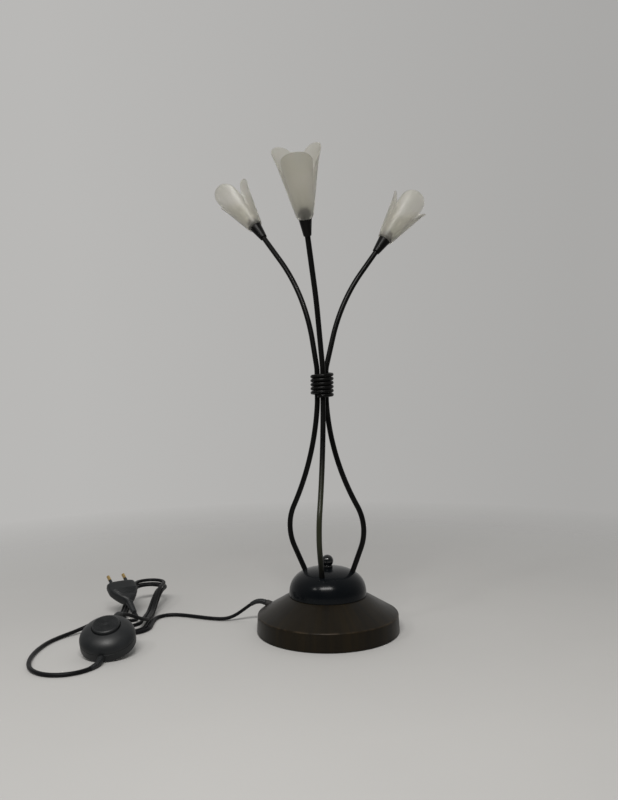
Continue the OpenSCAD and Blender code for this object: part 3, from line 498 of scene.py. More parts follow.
def bell_at(s, wide, tall):
    """Radius of the glass at height s: a cone from the neck, and a curl that grows with a
    power of the height above the flare's start."""
    flare = tall - FLARE_H
    slope = (BELL_SHARE * wide - NECK_R) / (flare - NECK_Z)
    above = np.clip(s - flare, 0, None) / FLARE_H
    curl = ((1 - BELL_SHARE) * wide - slope * FLARE_H) * above**FLARE_POWER
    return NECK_R + slope * (s - NECK_Z) + curl


def petal_rim(away, wide, tall):
    """Height of the glass's rim at an angle away from a petal's middle: the highest s where
    bell radius x sin(angle) is no more than the petal's half width. The top closes as a
    superellipse, half (1 - (d / high)^n)^(1/n) at d above its start, which is broader than a
    half circle. Found for all angles at once by halving."""
    low, high = np.full_like(away, PETAL_LOWEST), np.full_like(away, tall)
    for _ in range(30):
        s = (low + high) / 2
        over = np.clip((s - tall + PETAL_TOP) / PETAL_TOP, 0, 1) ** PETAL_POWER
        top = PETAL_SHARE * wide * (1 - over) ** (1 / PETAL_POWER)
        inside = bell_at(s, wide, tall) * np.sin(np.abs(away)) <= top
        low, high = np.where(inside, s, low), np.where(inside, high, s)
    return low


def petal_angles(cols):
    """Angles round the glass, and from each one's petal's middle. Within a petal they follow
    60 degrees x (e u + (1 - e) (3 u - u^3) / 2), which sets them closer where petals part."""
    each = cols // 3
    u = 2 * (np.arange(cols) % each + 0.5) / each - 1
    away = np.pi / 3 * (PETAL_EVEN * u + (1 - PETAL_EVEN) / 2 * (3 * u - u**3))
    return 2 * np.pi / 3 * (np.arange(cols) // each) + away, away


def flower(props, tall, mouth, cols=336, rows=70):
    """Glass of three petals. Round the axis by angle a and up by v, the outer face is
    (r cos a, r sin a, s) with s = floor + (rim(a) - floor) v and r = bell(s) less a furrow
    between petals, which deepens upwards, plus a cupping that carries a petal's sides out near
    its top. The inner face lies a wall's thickness under it, and half a circle joins them
    along the rim."""
    a, away = petal_angles(cols)
    wide = mouth * props.mouth_r / MM
    rim = petal_rim(away, wide, tall) - LIP_ROOM
    v = np.linspace(0, 1, rows)[:, None]
    s = GLASS_FLOOR + (rim - GLASS_FLOOR) * v
    aside = np.abs(away) / (np.pi / 3)
    furrow = props.furrow / MM * aside**FURROW_POWER * smooth((s - FURROW_FROM) / FURROW_RUN)
    top = smooth((s - tall + FLARE_H) / FLARE_H)
    cupping = PETAL_CUPPING * aside**2 * top
    r = bell_at(s, wide, tall) - furrow + cupping - PETAL_DROP * top
    outer = np.stack([r * np.cos(a), r * np.sin(a), s + 0 * a], -1)
    along = unit(np.gradient(outer, axis=0))
    spoke = np.stack([np.cos(a), np.sin(a), 0 * a], -1)
    lean = (along * spoke).sum(-1, keepdims=True)
    normal = along[..., 2:] * spoke - lean * np.array([0.0, 0.0, 1.0])
    half = props.wall / MM / 2
    centre = outer[-1] - half * normal[-1]
    arc = np.linspace(0, np.pi, 9)[1:-1, None, None]
    edge = np.roll(outer[-1], -1, 0) - np.roll(outer[-1], 1, 0)
    out = unit(np.cross(normal[-1], edge))
    lip = centre + half * (np.cos(arc) * normal[-1] + np.sin(arc) * out)
    inner = (outer - 2 * half * normal)[::-1]
    inner = inner[inner[:, :, 2].max(1) > GLASS_FLOOR]
    foot = soft_corners([(GLASS_HOLE_R, GLASS_FLOOR), (GLASS_HOLE_R, GLASS_FOOT),
                         (GLASS_FOOT_R, GLASS_FOOT), (NECK_R - 0.05, NECK_Z)],
                        [0.1, 0.3, 0.7, 0.3])[:-3]
    foot = np.stack([foot[:, :1] * np.cos(a), foot[:, :1] * np.sin(a), foot[:, 1:] + 0 * a], -1)
    return looped(np.concatenate([foot, outer, lip, inner]))


def hank_path(t):
    """The hank at turn t: loops round a long track of two straights and two half circles,
    each turn a step further in, then back outwards on top of the first ones."""
    inwards = HANK_STEP * np.where(t < HANK_TURN_BACK, t - HANK_START,
                                   2 * HANK_TURN_BACK - t - HANK_START)
    w = HANK_HALF - inwards
    f = 4 * (t - np.floor(t))
    bend = np.pi * np.where(f < 2, f - 1, f - 3)
    straight = [HANK_RUN * (0.5 - f), HANK_RUN * (f - 2.5)]
    x = np.select([f < 1, f < 2, f < 3], [w, w * np.cos(bend), -w], -w * np.cos(bend))
    y = np.select([f < 1, f < 2, f < 3],
                  [straight[0], -HANK_RUN / 2 - w * np.sin(bend), straight[1]],
                  HANK_RUN / 2 + w * np.sin(bend))
    x = x * np.where(np.abs(y) < HANK_RUN / 2, 1 - HANK_WAIST * (1 - (2 * y / HANK_RUN) ** 2), 1)
    z = CORD_FLOOR + HANK_LAYER * smooth((t - HANK_TURN_BACK) / HANK_CLIMB + 0.5)
    z = z + HANK_RISE * smooth((HANK_Y + y - RISE_FROM) / RISE_LEN)
    return np.stack([HANK_X + x, HANK_Y + y, z], -1)


def cord_section(a):
    """Two cores side by side under one jacket: the radius dips above and below by
    a bell curve of the angle."""
    dip = np.exp(-((np.abs(np.abs(a - np.pi) - np.pi / 2) / CORD_DIP_WIDE) ** 2))
    return 1 - CORD_DIP * dip


# ---------------------------------------------------------------- finishes


def add(tree, kind, inputs=None, **settings):
    """A node with its settings; an input that is a socket is linked, any other is set."""
    node = tree.nodes.new(kind)
    for key, value in settings.items():
        setattr(node, key, value)
    for key, value in (inputs or {}).items():
        if isinstance(value, bpy.types.NodeSocket):
            tree.links.new(value, node.inputs[key])
        else:
            node.inputs[key].default_value = value
    return node


def rgba(colour):
    """A colour with an alpha of one."""
    return (*colour[:3], 1.0)


def times(colour, factor):
    """A colour made lighter or darker."""
    return tuple(factor * c for c in colour)


def mix_colour(tree, share, a, b):
    """Colour a with a share of colour b."""
    node = add(tree, "ShaderNodeMix", data_type="RGBA")
    for index, value in ((0, share), (6, a), (7, b)):
        if isinstance(value, bpy.types.NodeSocket):
            tree.links.new(value, node.inputs[index])
        else:
            node.inputs[index].default_value = value
    return node.outputs[2]


def ranged(tree, value, low, high, to_low=0.0, to_high=1.0):
    """A value carried from one range to another and kept inside it."""
    node = add(tree, "ShaderNodeMapRange", {"Value": value, "From Min": low, "From Max": high,
                                            "To Min": to_low, "To Max": to_high})
    return node.outputs["Result"]


def object_place(tree):
    """A place in the object's own coordinates, which are the frame's."""
    return add(tree, "ShaderNodeTexCoord").outputs["Object"]


def split(tree, vector):
    """A vector's parts, by X, Y and Z."""
    return add(tree, "ShaderNodeSeparateXYZ", {"Vector": vector}).outputs


def noise(tree, where, scale, detail=3.0, rough=0.5):
    """Value of a noise at a place."""
    node = add(tree, "ShaderNodeTexNoise", {"Vector": where, "Scale": scale, "Detail": detail,
                                            "Roughness": rough})
    return node.outputs["Fac"]


def maths(tree, operation, a, b=0.0):
    """One sum of two values."""
    return add(tree, "ShaderNodeMath", {0: a, 1: b}, operation=operation).outputs[0]


def new_group(name, inputs, outputs):
    """An empty node group with named sockets."""
    group = bpy.data.node_groups.new(name, "ShaderNodeTree")
    for label, kind, default in inputs:
        socket = group.interface.new_socket(label, in_out="INPUT", socket_type=kind)
        socket.default_value = default
    for label, kind in outputs:
        group.interface.new_socket(label, in_out="OUTPUT", socket_type=kind)
    return group, group.nodes.new("NodeGroupInput"), group.nodes.new("NodeGroupOutput")


def make_mottle():
    """Cloudy change of colour and gloss, with a fine grain in the height."""
    group, given, result = new_group(
        "mottle",
        [("Colour", "NodeSocketColor", (0.5, 0.5, 0.5, 1)),
         ("Second", "NodeSocketColor", (0.3, 0.3, 0.3, 1)),
         ("Cloud Scale", "NodeSocketFloat", 30.0), ("Grain Scale", "NodeSocketFloat", 900.0),
         ("Rough Low", "NodeSocketFloat", 0.3), ("Rough High", "NodeSocketFloat", 0.5),
         ("Grain", "NodeSocketFloat", 0.5)],
        [("Colour", "NodeSocketColor"), ("Roughness", "NodeSocketFloat"),
         ("Height", "NodeSocketFloat")])
    where = object_place(group)
    cloud = noise(group, where, given.outputs["Cloud Scale"], 4.0, 0.55)
    spread = ranged(group, cloud, 0.34, 0.68)
    grain = noise(group, where, given.outputs["Grain Scale"], 2.0)
    colour = mix_colour(group, spread, given.outputs["Colour"], given.outputs["Second"])
    fine = ranged(group, grain, 0.3, 0.7, -0.05, 0.05)
    rough = ranged(group, spread, 0.0, 1.0, given.outputs["Rough Low"],
                   given.outputs["Rough High"])
    link = group.links.new
    link(colour, result.inputs["Colour"])
    link(maths(group, "ADD", rough, fine), result.inputs["Roughness"])
    height = maths(group, "MULTIPLY", grain, given.outputs["Grain"])
    link(maths(group, "ADD", height, maths(group, "MULTIPLY", cloud, 0.35)),
         result.inputs["Height"])


def make_dust():
    """Pale dust that settles in patches on what faces up."""
    group, given, result = new_group(
        "settled_dust",
        [("Colour", "NodeSocketColor", (0.5, 0.5, 0.5, 1)),
         ("Dust", "NodeSocketColor", (0.3, 0.29, 0.27, 1)),
         ("Amount", "NodeSocketFloat", 0.1), ("Scale", "NodeSocketFloat", 60.0)],
        [("Colour", "NodeSocketColor"), ("Mask", "NodeSocketFloat")])
    where = object_place(group)
    facing = add(group, "ShaderNodeNewGeometry").outputs["Normal"]
    lying = ranged(group, split(group, facing)["Z"], 0.1, 0.95)
    patch = ranged(group, noise(group, where, given.outputs["Scale"], 6.0, 0.65), 0.42, 0.75)
    speck = ranged(group, noise(group, where, 2600.0, 1.0), 0.62, 0.72)
    patch = maths(group, "ADD", patch, maths(group, "MULTIPLY", speck, 0.6))
    mask = maths(group, "MULTIPLY", lying, patch)
    mask = maths(group, "MULTIPLY", mask, given.outputs["Amount"])
    group.links.new(mix_colour(group, mask, given.outputs["Colour"], given.outputs["Dust"]),
                    result.inputs["Colour"])
    group.links.new(mask, result.inputs["Mask"])


def make_streaks():
    """Streaks that run down from a middle axis, from the angle round it and the radius."""
    group, given, result = new_group(
        "polar_streaks",
        [("Round", "NodeSocketFloat", 14.0), ("Out", "NodeSocketFloat", 18.0)],
        [("Mask", "NodeSocketFloat")])
    where = object_place(group)
    parts = split(group, where)
    flat = add(group, "ShaderNodeCombineXYZ", {"X": parts["X"], "Y": parts["Y"]})
    way = add(group, "ShaderNodeVectorMath", {0: flat.outputs[0]}, operation="NORMALIZE")
    round_ = add(group, "ShaderNodeVectorMath", {0: way.outputs[0]}, operation="SCALE")
    group.links.new(given.outputs["Round"], round_.inputs["Scale"])
    far = add(group, "ShaderNodeVectorMath", {0: flat.outputs[0]}, operation="LENGTH")
    depth = add(group, "ShaderNodeCombineXYZ",
                {"Z": maths(group, "MULTIPLY", far.outputs["Value"], given.outputs["Out"])})
    spot = add(group, "ShaderNodeVectorMath", {0: round_.outputs[0], 1: depth.outputs[0]},
               operation="ADD")
    group.links.new(ranged(group, noise(group, spot.outputs[0], 1.0, 4.0, 0.6), 0.35, 0.68),
                    result.inputs["Mask"])


def make_edge_sheen_and_wear():
    """A ring of painted highlight and wear: one where the height is near a level, broken up by a
    noise.
    """
    group, given, result = new_group(
        "edge_sheen_and_wear_ring",
        [("Level", "NodeSocketFloat", 0.02), ("Reach", "NodeSocketFloat", 0.001),
         ("Breaks", "NodeSocketFloat", 120.0)],
        [("Mask", "NodeSocketFloat")])
    where = object_place(group)
    off = maths(group, "SUBTRACT", split(group, where)["Z"], given.outputs["Level"])
    off = maths(group, "ABSOLUTE", off)
    near = maths(group, "SUBTRACT", 1.0, maths(group, "DIVIDE", off, given.outputs["Reach"]))
    near = ranged(group, near, 0.0, 1.0)
    broken = ranged(group, noise(group, where, given.outputs["Breaks"], 4.0), 0.38, 0.62)
    group.links.new(maths(group, "MULTIPLY", near, broken), result.inputs["Mask"])


def placed(tree, group, **inputs):
    """A group's node with its own values."""
    node = add(tree, "ShaderNodeGroup", node_tree=bpy.data.node_groups[group])
    for key, value in inputs.items():
        socket = node.inputs[key.replace("_", " ").title()]
        if isinstance(value, bpy.types.NodeSocket):
            tree.links.new(value, socket)
        else:
            socket.default_value = value
    return node.outputs


def finish_of(name, colour, second, rough, cloud=30.0, grain=900.0, amount=0.5, bump=0.2,
              depth=0.0002, dust=0.0, **shader):
    """A material of a mottled colour and gloss, a grained surface and some dust; shader holds
    what is the same all over. Gives back the material, its tree, shader and colour."""
    plain = bpy.data.materials.get(name)
    if plain is not None:
        plain.name = name + "_plain"
    material = bpy.data.materials.new(name)
    material.use_nodes = True
    tree = material.node_tree
    skin = tree.nodes["Principled BSDF"]
    base = placed(tree, "mottle", colour=rgba(colour), second=rgba(second), cloud_scale=cloud,
                  grain_scale=grain, rough_low=rough[0], rough_high=rough[1], grain=amount)
    shade, gloss = base["Colour"], base["Roughness"]
    if dust:
        lying = placed(tree, "settled_dust", colour=shade, amount=dust)
        shade = lying["Colour"]
        gloss = maths(tree, "ADD", gloss, maths(tree, "MULTIPLY", lying["Mask"], 0.5))
    tree.links.new(shade, skin.inputs["Base Color"])
    tree.links.new(gloss, skin.inputs["Roughness"])
    relief = add(tree, "ShaderNodeBump", {"Height": base["Height"], "Strength": bump,
                                          "Distance": depth})
    tree.links.new(relief.outputs["Normal"], skin.inputs["Normal"])
    for key, value in shader.items():
        skin.inputs[key.replace("_", " ").title().replace("Ior", "IOR")].default_value = value
    return material, tree, skin, shade


# ---------------------------------------------------------------- settings


def colour_setting(name, description, default):
    """A colour that a user may change."""
    return bpy.props.FloatVectorProperty(name=name, description=description, default=default,
                                         size=3, min=0.0, max=1.0, subtype="COLOR")


def length_setting(name, description, default):
    """A length in metres that a user may change."""
    return bpy.props.FloatProperty(name=name, description=description, default=default,
                                   min=0.0, unit="LENGTH", subtype="DISTANCE", precision=4)


class TulipLampFoot(bpy.types.PropertyGroup):
    """Foot, dome and ball."""

    foot_r: length_setting("Foot radius", "Radius of the foot at the floor", 0.080)
    rim_h: length_setting("Rim height", "Height of the foot's upright rim", 0.020)
    ball_r: length_setting("Ball radius", "Radius of the ball on the dome", 0.0067)
    bronze: colour_setting("Bronze paint", "Dark brown paint of the foot",
                           (0.0065, 0.0054, 0.0037))
    patina: colour_setting("Bronze patina", "Olive and brown clouds in the foot's paint",
                           (0.0150, 0.0100, 0.0036))
    dome: colour_setting("Dome paint", "Blue black paint of the dome", (0.0026, 0.0036, 0.0048))
    dome_cloud: colour_setting("Dome clouds", "Second tone of the dome's paint",
                               (0.0045, 0.0055, 0.0066))
    ball: colour_setting("Ball paint", "Black gloss of the ball", (0.003, 0.0035, 0.0035))


class TulipLampArms(bpy.types.PropertyGroup):
    """Tubes, binding and cups."""

    tube_r: length_setting("Tube radius", "Outer radius of a tube", 0.003)
    tube_wall: length_setting("Tube wall", "Wall of a tube", 0.0008)
    wire_r: length_setting("Wire radius", "Radius of the binding's wire", 0.002)
    wire_pitch: length_setting("Wire pitch", "Rise of the binding in one turn", 0.0045)
    paint: colour_setting("Tube paint", "Black paint of tubes, binding and cups",
                          (0.0024, 0.0024, 0.0023))
    # Painted highlight: the khaki mixed into the front side of the front tube, where the light
    # falls on it
    worn: colour_setting("Tube wear", "Khaki of the front tube below the binding",
                         (0.0280, 0.0300, 0.0180))


class TulipLampGlass(bpy.types.PropertyGroup):
    """Glass flowers."""

    mouth_r: length_setting("Mouth radius", "Radius at the tips of the petals", 0.0268)
    wall: length_setting("Glass wall", "Thickness of the glass", 0.0018)
    furrow: length_setting("Furrow", "Depth of the furrow between two petals", 0.0022)
    glass: colour_setting("Frosted glass", "Warm grey of the frosted glass", (0.82, 0.80, 0.75))
    milky: colour_setting("Milky glass", "Tone of the denser clouds in the glass",
                          (0.74, 0.73, 0.66))


class TulipLampCord(bpy.types.PropertyGroup):
    """Cord, switch and plug."""

    cord_d: length_setting("Cord diameter", "Width of the cord", 0.0044)
    relief: length_setting("Relief length", "Length of a tapered strain relief", 0.020)
    jacket: colour_setting("Cord jacket", "Black of the cord", (0.0035, 0.0036, 0.0042))
    plastic: colour_setting("Black plastic", "Blue black of the switch and the plug",
                            (0.0065, 0.0075, 0.0085))


class TulipLampStudio(bpy.types.PropertyGroup):
    """Camera, floor and lights."""

    lens: bpy.props.FloatProperty(name="Lens", description="Focal length over a 36 mm sensor",
                                  default=36.0, min=10.0, max=200.0, unit="CAMERA")
    floor: colour_setting("Floor", "Pale grey floor", (0.52, 0.515, 0.505))
    backdrop: colour_setting("Backdrop", "Pale grey behind the lamp", (0.445, 0.44, 0.43))
    key: bpy.props.FloatProperty(name="Key light", description="Wide soft light above the front",
                                 default=21.0, min=0.0, unit="POWER")
    side: bpy.props.FloatProperty(name="Side light", description="Small light at the left",
                                  default=1.5, min=0.0, unit="POWER")
    ambient: bpy.props.FloatProperty(name="Ambient", description="Light of the room",
                                     default=0.42, min=0.0, max=2.0, subtype="FACTOR")


# ---------------------------------------------------------------- operators


class TULIPLAMP_OT_camera(bpy.types.Operator):
    """Set the camera at the photograph's place and angle"""

    bl_idname = "tuliplamp.camera"
    bl_label = "Camera"

    def execute(self, context):
        data = bpy.data.cameras.new("camera")
        data.sensor_width = 36.0
        data.lens = context.scene.tuliplamp_studio.lens
        data.clip_start, data.clip_end = 0.02, 20.0
        camera = bpy.data.objects.new("camera", data)
        context.scene.collection.objects.link(camera)
        right, up = unit(np.array(CAMERA_RIGHT)), np.array(CAMERA_UP)
        back = unit(np.cross(right, up))
        up = np.cross(back, right)
        matrix = np.eye(4)
        matrix[:3, :3] = np.stack([right, up, back], -1)
        matrix[:3, 3] = np.array(CAMERA_PLACE) * MM
        camera.matrix_world = Matrix(matrix.tolist())
        context.scene.camera = camera
        return {"FINISHED"}


class TULIPLAMP_OT_finishes(bpy.types.Operator):
    """Make the shared effects and all the materials"""

    bl_idname = "tuliplamp.finishes"
    bl_label = "Finishes"

    def execute(self, context):
        scene = context.scene
        foot, arms = scene.tuliplamp_foot, scene.tuliplamp_arms
        glass, cord = scene.tuliplamp_glass, scene.tuliplamp_cord
        for make in (make_mottle, make_dust, make_streaks, make_edge_sheen_and_wear):
            make()

        _, tree, skin, shade = finish_of(
            "bronze_paint", foot.bronze, times(foot.bronze, 0.6), (0.30, 0.42),
            cloud=22.0, grain=1400.0, bump=0.16, depth=0.00008, dust=0.015,
            specular_ior_level=0.15)
        streak = placed(tree, "polar_streaks", round=6.0, out=9.0)["Mask"]
        tinted = mix_colour(tree, maths(tree, "MULTIPLY", streak, 0.75), shade, rgba(foot.patina))
        # Painted highlight and wear: a lighter ring along the edge where the rim meets the cone
        edge_sheen_and_wear_mask = placed(tree, "edge_sheen_and_wear_ring", level=foot.rim_h, reach=0.0011)["Mask"]
        worn = mix_colour(tree, maths(tree, "MULTIPLY", edge_sheen_and_wear_mask, 0.55), tinted, rgba(EDGE_SHEEN_AND_WEAR))
        tree.links.new(worn, skin.inputs["Base Color"])

        finish_of("dome_paint", foot.dome, foot.dome_cloud, (0.17, 0.25), cloud=26.0,
                  grain=1800.0, bump=0.08, depth=0.00006, dust=0.006, specular_ior_level=0.14)
        finish_of("ball_paint", foot.ball, foot.dome_cloud, (0.07, 0.14), cloud=60.0,
                  grain=1600.0, bump=0.05, depth=0.00005, dust=0.01, coat_weight=0.2,
                  coat_roughness=0.06)
        _, tree, skin, shade = finish_of(
            "tube_paint", arms.paint, times(arms.paint, 1.8), (0.24, 0.38),
            cloud=34.0, grain=1500.0, bump=0.14, depth=0.00006, dust=0.006,
            specular_ior_level=0.13)
        # Painted highlight: the forward side of the tubes between the foot and the binding, which
        # is the front tube, is mixed towards khaki
        where = split(tree, object_place(tree))
        front = ranged(tree, where["Y"], *KHAKI_FRONT)
        below = ranged(tree, where["Z"], *KHAKI_TOP, 0.0, KHAKI_MOST)
        above = ranged(tree, where["Z"], *KHAKI_FOOT)
        bow = maths(tree, "MULTIPLY", front, maths(tree, "MULTIPLY", below, above))
        khaki_highlight = mix_colour(tree, bow, shade, rgba(arms.worn))
        tree.links.new(khaki_highlight, skin.inputs["Base Color"])
        finish_of("steel", (0.33, 0.33, 0.32), (0.22, 0.21, 0.20), (0.34, 0.52), cloud=40.0,
                  grain=1200.0, bump=0.15, depth=0.00006, metallic=1.0)
        finish_of("zinc", (0.55, 0.54, 0.50), (0.36, 0.36, 0.35), (0.28, 0.46), cloud=120.0,
                  grain=1600.0, bump=0.15, depth=0.00005, metallic=1.0)
        finish_of("brass", (0.60, 0.43, 0.18), (0.38, 0.27, 0.12), (0.26, 0.44), cloud=110.0,
                  grain=1500.0, bump=0.12, depth=0.00005, metallic=1.0)
        finish_of("winding", (0.26, 0.085, 0.025), (0.15, 0.045, 0.014), (0.22, 0.36),
                  cloud=70.0, grain=2200.0, amount=0.9, bump=0.5, depth=0.0002,
                  coat_weight=0.4)
        finish_of("rubber", (0.012, 0.012, 0.012), (0.022, 0.021, 0.020), (0.62, 0.78),
                  cloud=90.0, grain=1500.0, bump=0.25, depth=0.00008, dust=0.12)
        finish_of("felt", (0.012, 0.013, 0.012), (0.022, 0.023, 0.021), (0.88, 0.98),
                  cloud=160.0, grain=2600.0, amount=1.0, bump=0.7, depth=0.0004,
                  sheen_weight=0.4)
        finish_of("nylon", (0.62, 0.60, 0.54), (0.52, 0.50, 0.44), (0.42, 0.55), cloud=60.0,
                  grain=900.0, bump=0.12, depth=0.00006, subsurface_weight=0.1)
        finish_of("lead_sleeve", (0.66, 0.63, 0.55), (0.55, 0.51, 0.42), (0.40, 0.52),
                  cloud=90.0, grain=1400.0, bump=0.12, depth=0.00005)
        finish_of("holder", (0.030, 0.029, 0.028), (0.052, 0.049, 0.045), (0.48, 0.62),
                  cloud=120.0, grain=1500.0, bump=0.2, depth=0.00008)
        finish_of("cord", cord.jacket, times(cord.jacket, 1.9), (0.36, 0.50),
                  cloud=55.0, grain=2200.0, bump=0.18, depth=0.00006, dust=0.01,
                  specular_ior_level=0.12)
        finish_of("black_plastic", cord.plastic, times(cord.plastic, 1.7),
                  (0.40, 0.54), cloud=30.0, grain=2400.0, amount=0.8, bump=0.28,
                  depth=0.00008, dust=0.03, specular_ior_level=0.36)
        finish_of("bulb_glass", (0.93, 0.93, 0.91), (0.88, 0.88, 0.86), (0.03, 0.08),
                  cloud=50.0, grain=900.0, bump=0.03, depth=0.00003,
                  transmission_weight=0.9, ior=1.46)
        finish_of("frosted_glass", glass.glass, glass.milky, (0.36, 0.46), cloud=22.0,
                  grain=1700.0, amount=0.8, bump=0.12, depth=0.00008,
                  transmission_weight=0.90, ior=1.36, specular_ior_level=0.12)
        return {"FINISHED"}


class TULIPLAMP_OT_cords(bpy.types.Operator):
    """Lay the cord from the foot through its hank to the switch, and on to the plug"""

    bl_idname = "tuliplamp.cords"
    bl_label = "Cords"

    def execute(self, context):
        props = context.scene.tuliplamp_cord
        radius = props.cord_d / MM / 2
        bush, out = bush_place()
        up, back = switch_axes()
        middle = SWITCH_AT + BOSS_Z * up
        enter, leave = middle + SWITCH_FACE * back, middle - SWITCH_FACE * back
        first, last = hank_path(np.array([HANK_START, HANK_START + HANK_LOOPS]))
        y = np.array([0.0, 1.0, 0.0])
        turns = np.linspace(HANK_START, HANK_START + HANK_LOOPS, int(HANK_LOOPS * 96) + 1)
        to_switch = np.concatenate([
            [bush, bush + radius * out], POWER_ROUTE,
            [first + 2 * CORD_D * y, first + CORD_D * y], hank_path(turns),
            [last - CORD_D * y, last - 2 * CORD_D * y], SWITCH_ROUTE,
            [enter + 1.5 * CORD_D * back, enter]])
        ahead = plug_ahead()
        tip = PLUG_AT - props.relief / MM * ahead
        to_plug = np.concatenate([[leave, leave - 1.5 * CORD_D * back], PLUG_ROUTE,
                                  [tip - CORD_D * ahead, tip]])
        pieces = []
        for name, points, nodes in (
                ("cord_to_switch", to_switch, ("power_cord", "cord_hank", "switch_cord")),
                ("cord_to_plug", to_plug, ("plug_cord",))):
            path, length = evenly(spline(points, CORD_STEPS), CORD_GAP)
            rings = rings_along(path, ways_of(path), radius, CORD_SIDES, section=cord_section)
            piece = new_piece(name, capped(rings), "cord", stands_for=nodes)
            pieces.append((piece, path * MM, length * MM))
        reliefs = [strain_relief(name, pieces[which][1][::way] / MM, props.relief / MM)
                   for name, which, way in (("relief_foot", 0, 1), ("relief_switch_in", 0, -1),
                                            ("relief_switch_out", 1, 1))]
        made, nodes = bpy.data.objects, frame["nodes"]
        on_first = [reliefs[0], reliefs[1], made["switch_bottom"], made["switch_dome"],
                    made["switch_push"], nodes["switch_contacts"], nodes["switch_screws"]]
        on_second = [reliefs[2], made["plug_shell"], nodes["plug_pins"], nodes["plug_sleeves"]]
        for (piece, path, length), far, goes_with in (
                (pieces[0], "fitting", on_first), (pieces[1], "plug", on_second)):
            print("cord length", piece.name, round(length, 4))
        return {"FINISHED"}


def bush_place():
    """Middle of the bush's face on the foot's cone, and the way that the cord leaves it."""
    slope = math.atan2(LEDGE_Z - RIM_Z, RIM_R - LEDGE_R)
    lean = math.radians(BUSH_LEAN)
    away = outwards(BUSH_AZIMUTH)
    out = math.sin(lean) * away + np.array([0, 0, math.cos(lean)])
    foot = BUSH_R * away + np.array([0, 0, RIM_Z + (RIM_R - BUSH_R) * math.tan(slope)])
    return foot + BUSH_H * out, out


def switch_axes():
    """The switch's up and back directions after its tilt."""
    t = math.radians(SWITCH_TILT)
    return np.array([0, -math.sin(t), math.cos(t)]), np.array([0, math.cos(t), math.sin(t)])


def plug_ahead():
    """The way that the plug points."""
    a, b = math.radians(PLUG_TILT), math.radians(PLUG_DIR)
    return np.array([math.sin(a) * math.cos(b), math.sin(a) * math.sin(b), math.cos(a)])


def strain_relief(name, path, length):
    """A soft sleeve round the start of a path: its radius falls from the housing with the
    distance, and shallow rings of a cosine run along it. It is kept above the floor."""
    run = np.concatenate([[0], np.cumsum(np.linalg.norm(np.diff(path, axis=0), axis=1))])
    at = np.linspace(0, length, 61)
    line = np.stack([np.interp(at, run, path[:, i]) for i in range(3)], -1)
    share = at / length
    rings = RELIEF_RING * np.cos(2 * np.pi * at / RELIEF_PITCH) * (share < RELIEF_RINGED)
    radius = RELIEF_R - RELIEF_TAPER * share + rings
    line[:, 2] = np.maximum(line[:, 2], radius + FLOOR_GAP)
    return new_piece(name, capped(rings_along(line, ways_of(line), radius, 32)), "black_plastic")


def cover_z(radius, wall):
    """Height of the switch's cover, less a wall: a quarter of an ellipse over the base."""
    return SWITCH_LOW + (SWITCH_HIGH - SWITCH_LOW - wall) * np.sqrt(
        np.clip(1 - (radius / (SWITCH_R - wall)) ** 2, 0, None))


def cover_rows(wall, rows):
    """Rows from the foot of the switch's cover to the button's hole."""
    v = np.linspace(0, math.acos(BUTTON_HOLE_R / (SWITCH_R - wall)), rows)
    q = (SWITCH_R - wall) * np.cos(v)
    return np.stack([q, cover_z(q, wall)], -1)


def on_switch(shape):
    """A shape on the switch's own axis, tilted and set in its place."""
    points, faces = shape
    return points @ turn_x(SWITCH_TILT).T + SWITCH_AT, faces


class TULIPLAMP_OT_switch(bpy.types.Operator):
    """Build the round foot switch with its domed cover and its button"""

    bl_idname = "tuliplamp.switch"
    bl_label = "Foot switch"

    def execute(self, context):
        r, hole = SWITCH_R, BUTTON_HOLE_R
        outer, inner = cover_rows(0.0, 48), cover_rows(SWITCH_WALL, 24)[::-1]
        lip = np.array([[hole + 0.5, outer[-1, 1] + 0.15], [hole + 0.12, outer[-1, 1] - 0.15]])
        skirt = np.array([[r - 0.5, SWITCH_LOW + 0.02], [r - 0.08, SWITCH_LOW + 0.35]])
        profile = np.concatenate([skirt, outer[2:-1], lip, inner])
        new_piece("switch_dome", on_switch(looped(turned(profile, 192))),
                  "black_plastic", stands_for=("switch_cover",))

        low = soft_corners([(0.02, 0), (r, 0), (r, SWITCH_LOW - 0.15), (0.02, SWITCH_LOW - 0.15)],
                           [0, 1.4, 0.5, 0], loop=False, steps=7)
        shapes = [capped(turned(finer(low, 2.0, loop=False), 192))]
        a = 2 * np.pi * np.arange(48) / 48
        for side in (-1, 1):
            along = np.array([r - 1.0, SWITCH_FACE - 0.7, SWITCH_FACE])[:, None]
            wide = np.array([3.4, 3.4, 2.9])[:, None]
            shapes.append(capped(np.stack([wide * np.cos(a), side * along + 0 * a,
                                           BOSS_Z - 1.2 + 0.75 * wide * np.sin(a) + 0.9], -1)))
        new_piece("switch_bottom", on_switch(several(shapes)), "black_plastic",
                  stands_for=("switch_base",))

        top = float(cover_z(hole, 0.0)) + BUTTON_UP
        rings = np.arange(2.6, 12.2, RIDGE_STEP)
        ridge = np.stack([np.stack([rings + RIDGE_STEP * q,
                                    top - 0.05 - RIDGE_DEEP * d + 0 * rings], -1)
                          for q, d in ((0, 1), (0.2, 0), (0.5, 0), (0.7, 1))], 1).reshape(-1, 2)
        face = np.concatenate([[[0.02, top - 0.37]], ridge, [[12.9, top - 0.1]]])
        edge = soft_corners([(12.9, top - 0.1), (BUTTON_R, top - 1.0),
                             (BUTTON_R, SWITCH_LOW + 8.0), (0.02, SWITCH_LOW + 8.0)],
                            [0, 0.9, 0.3, 0], loop=False, steps=7)
        profile = np.concatenate([face, edge[1:]])
        new_piece("switch_push", on_switch(capped(turned(profile, 144))),
                  "black_plastic", body="button", stands_for=("switch_button",))
        return {"FINISHED"}


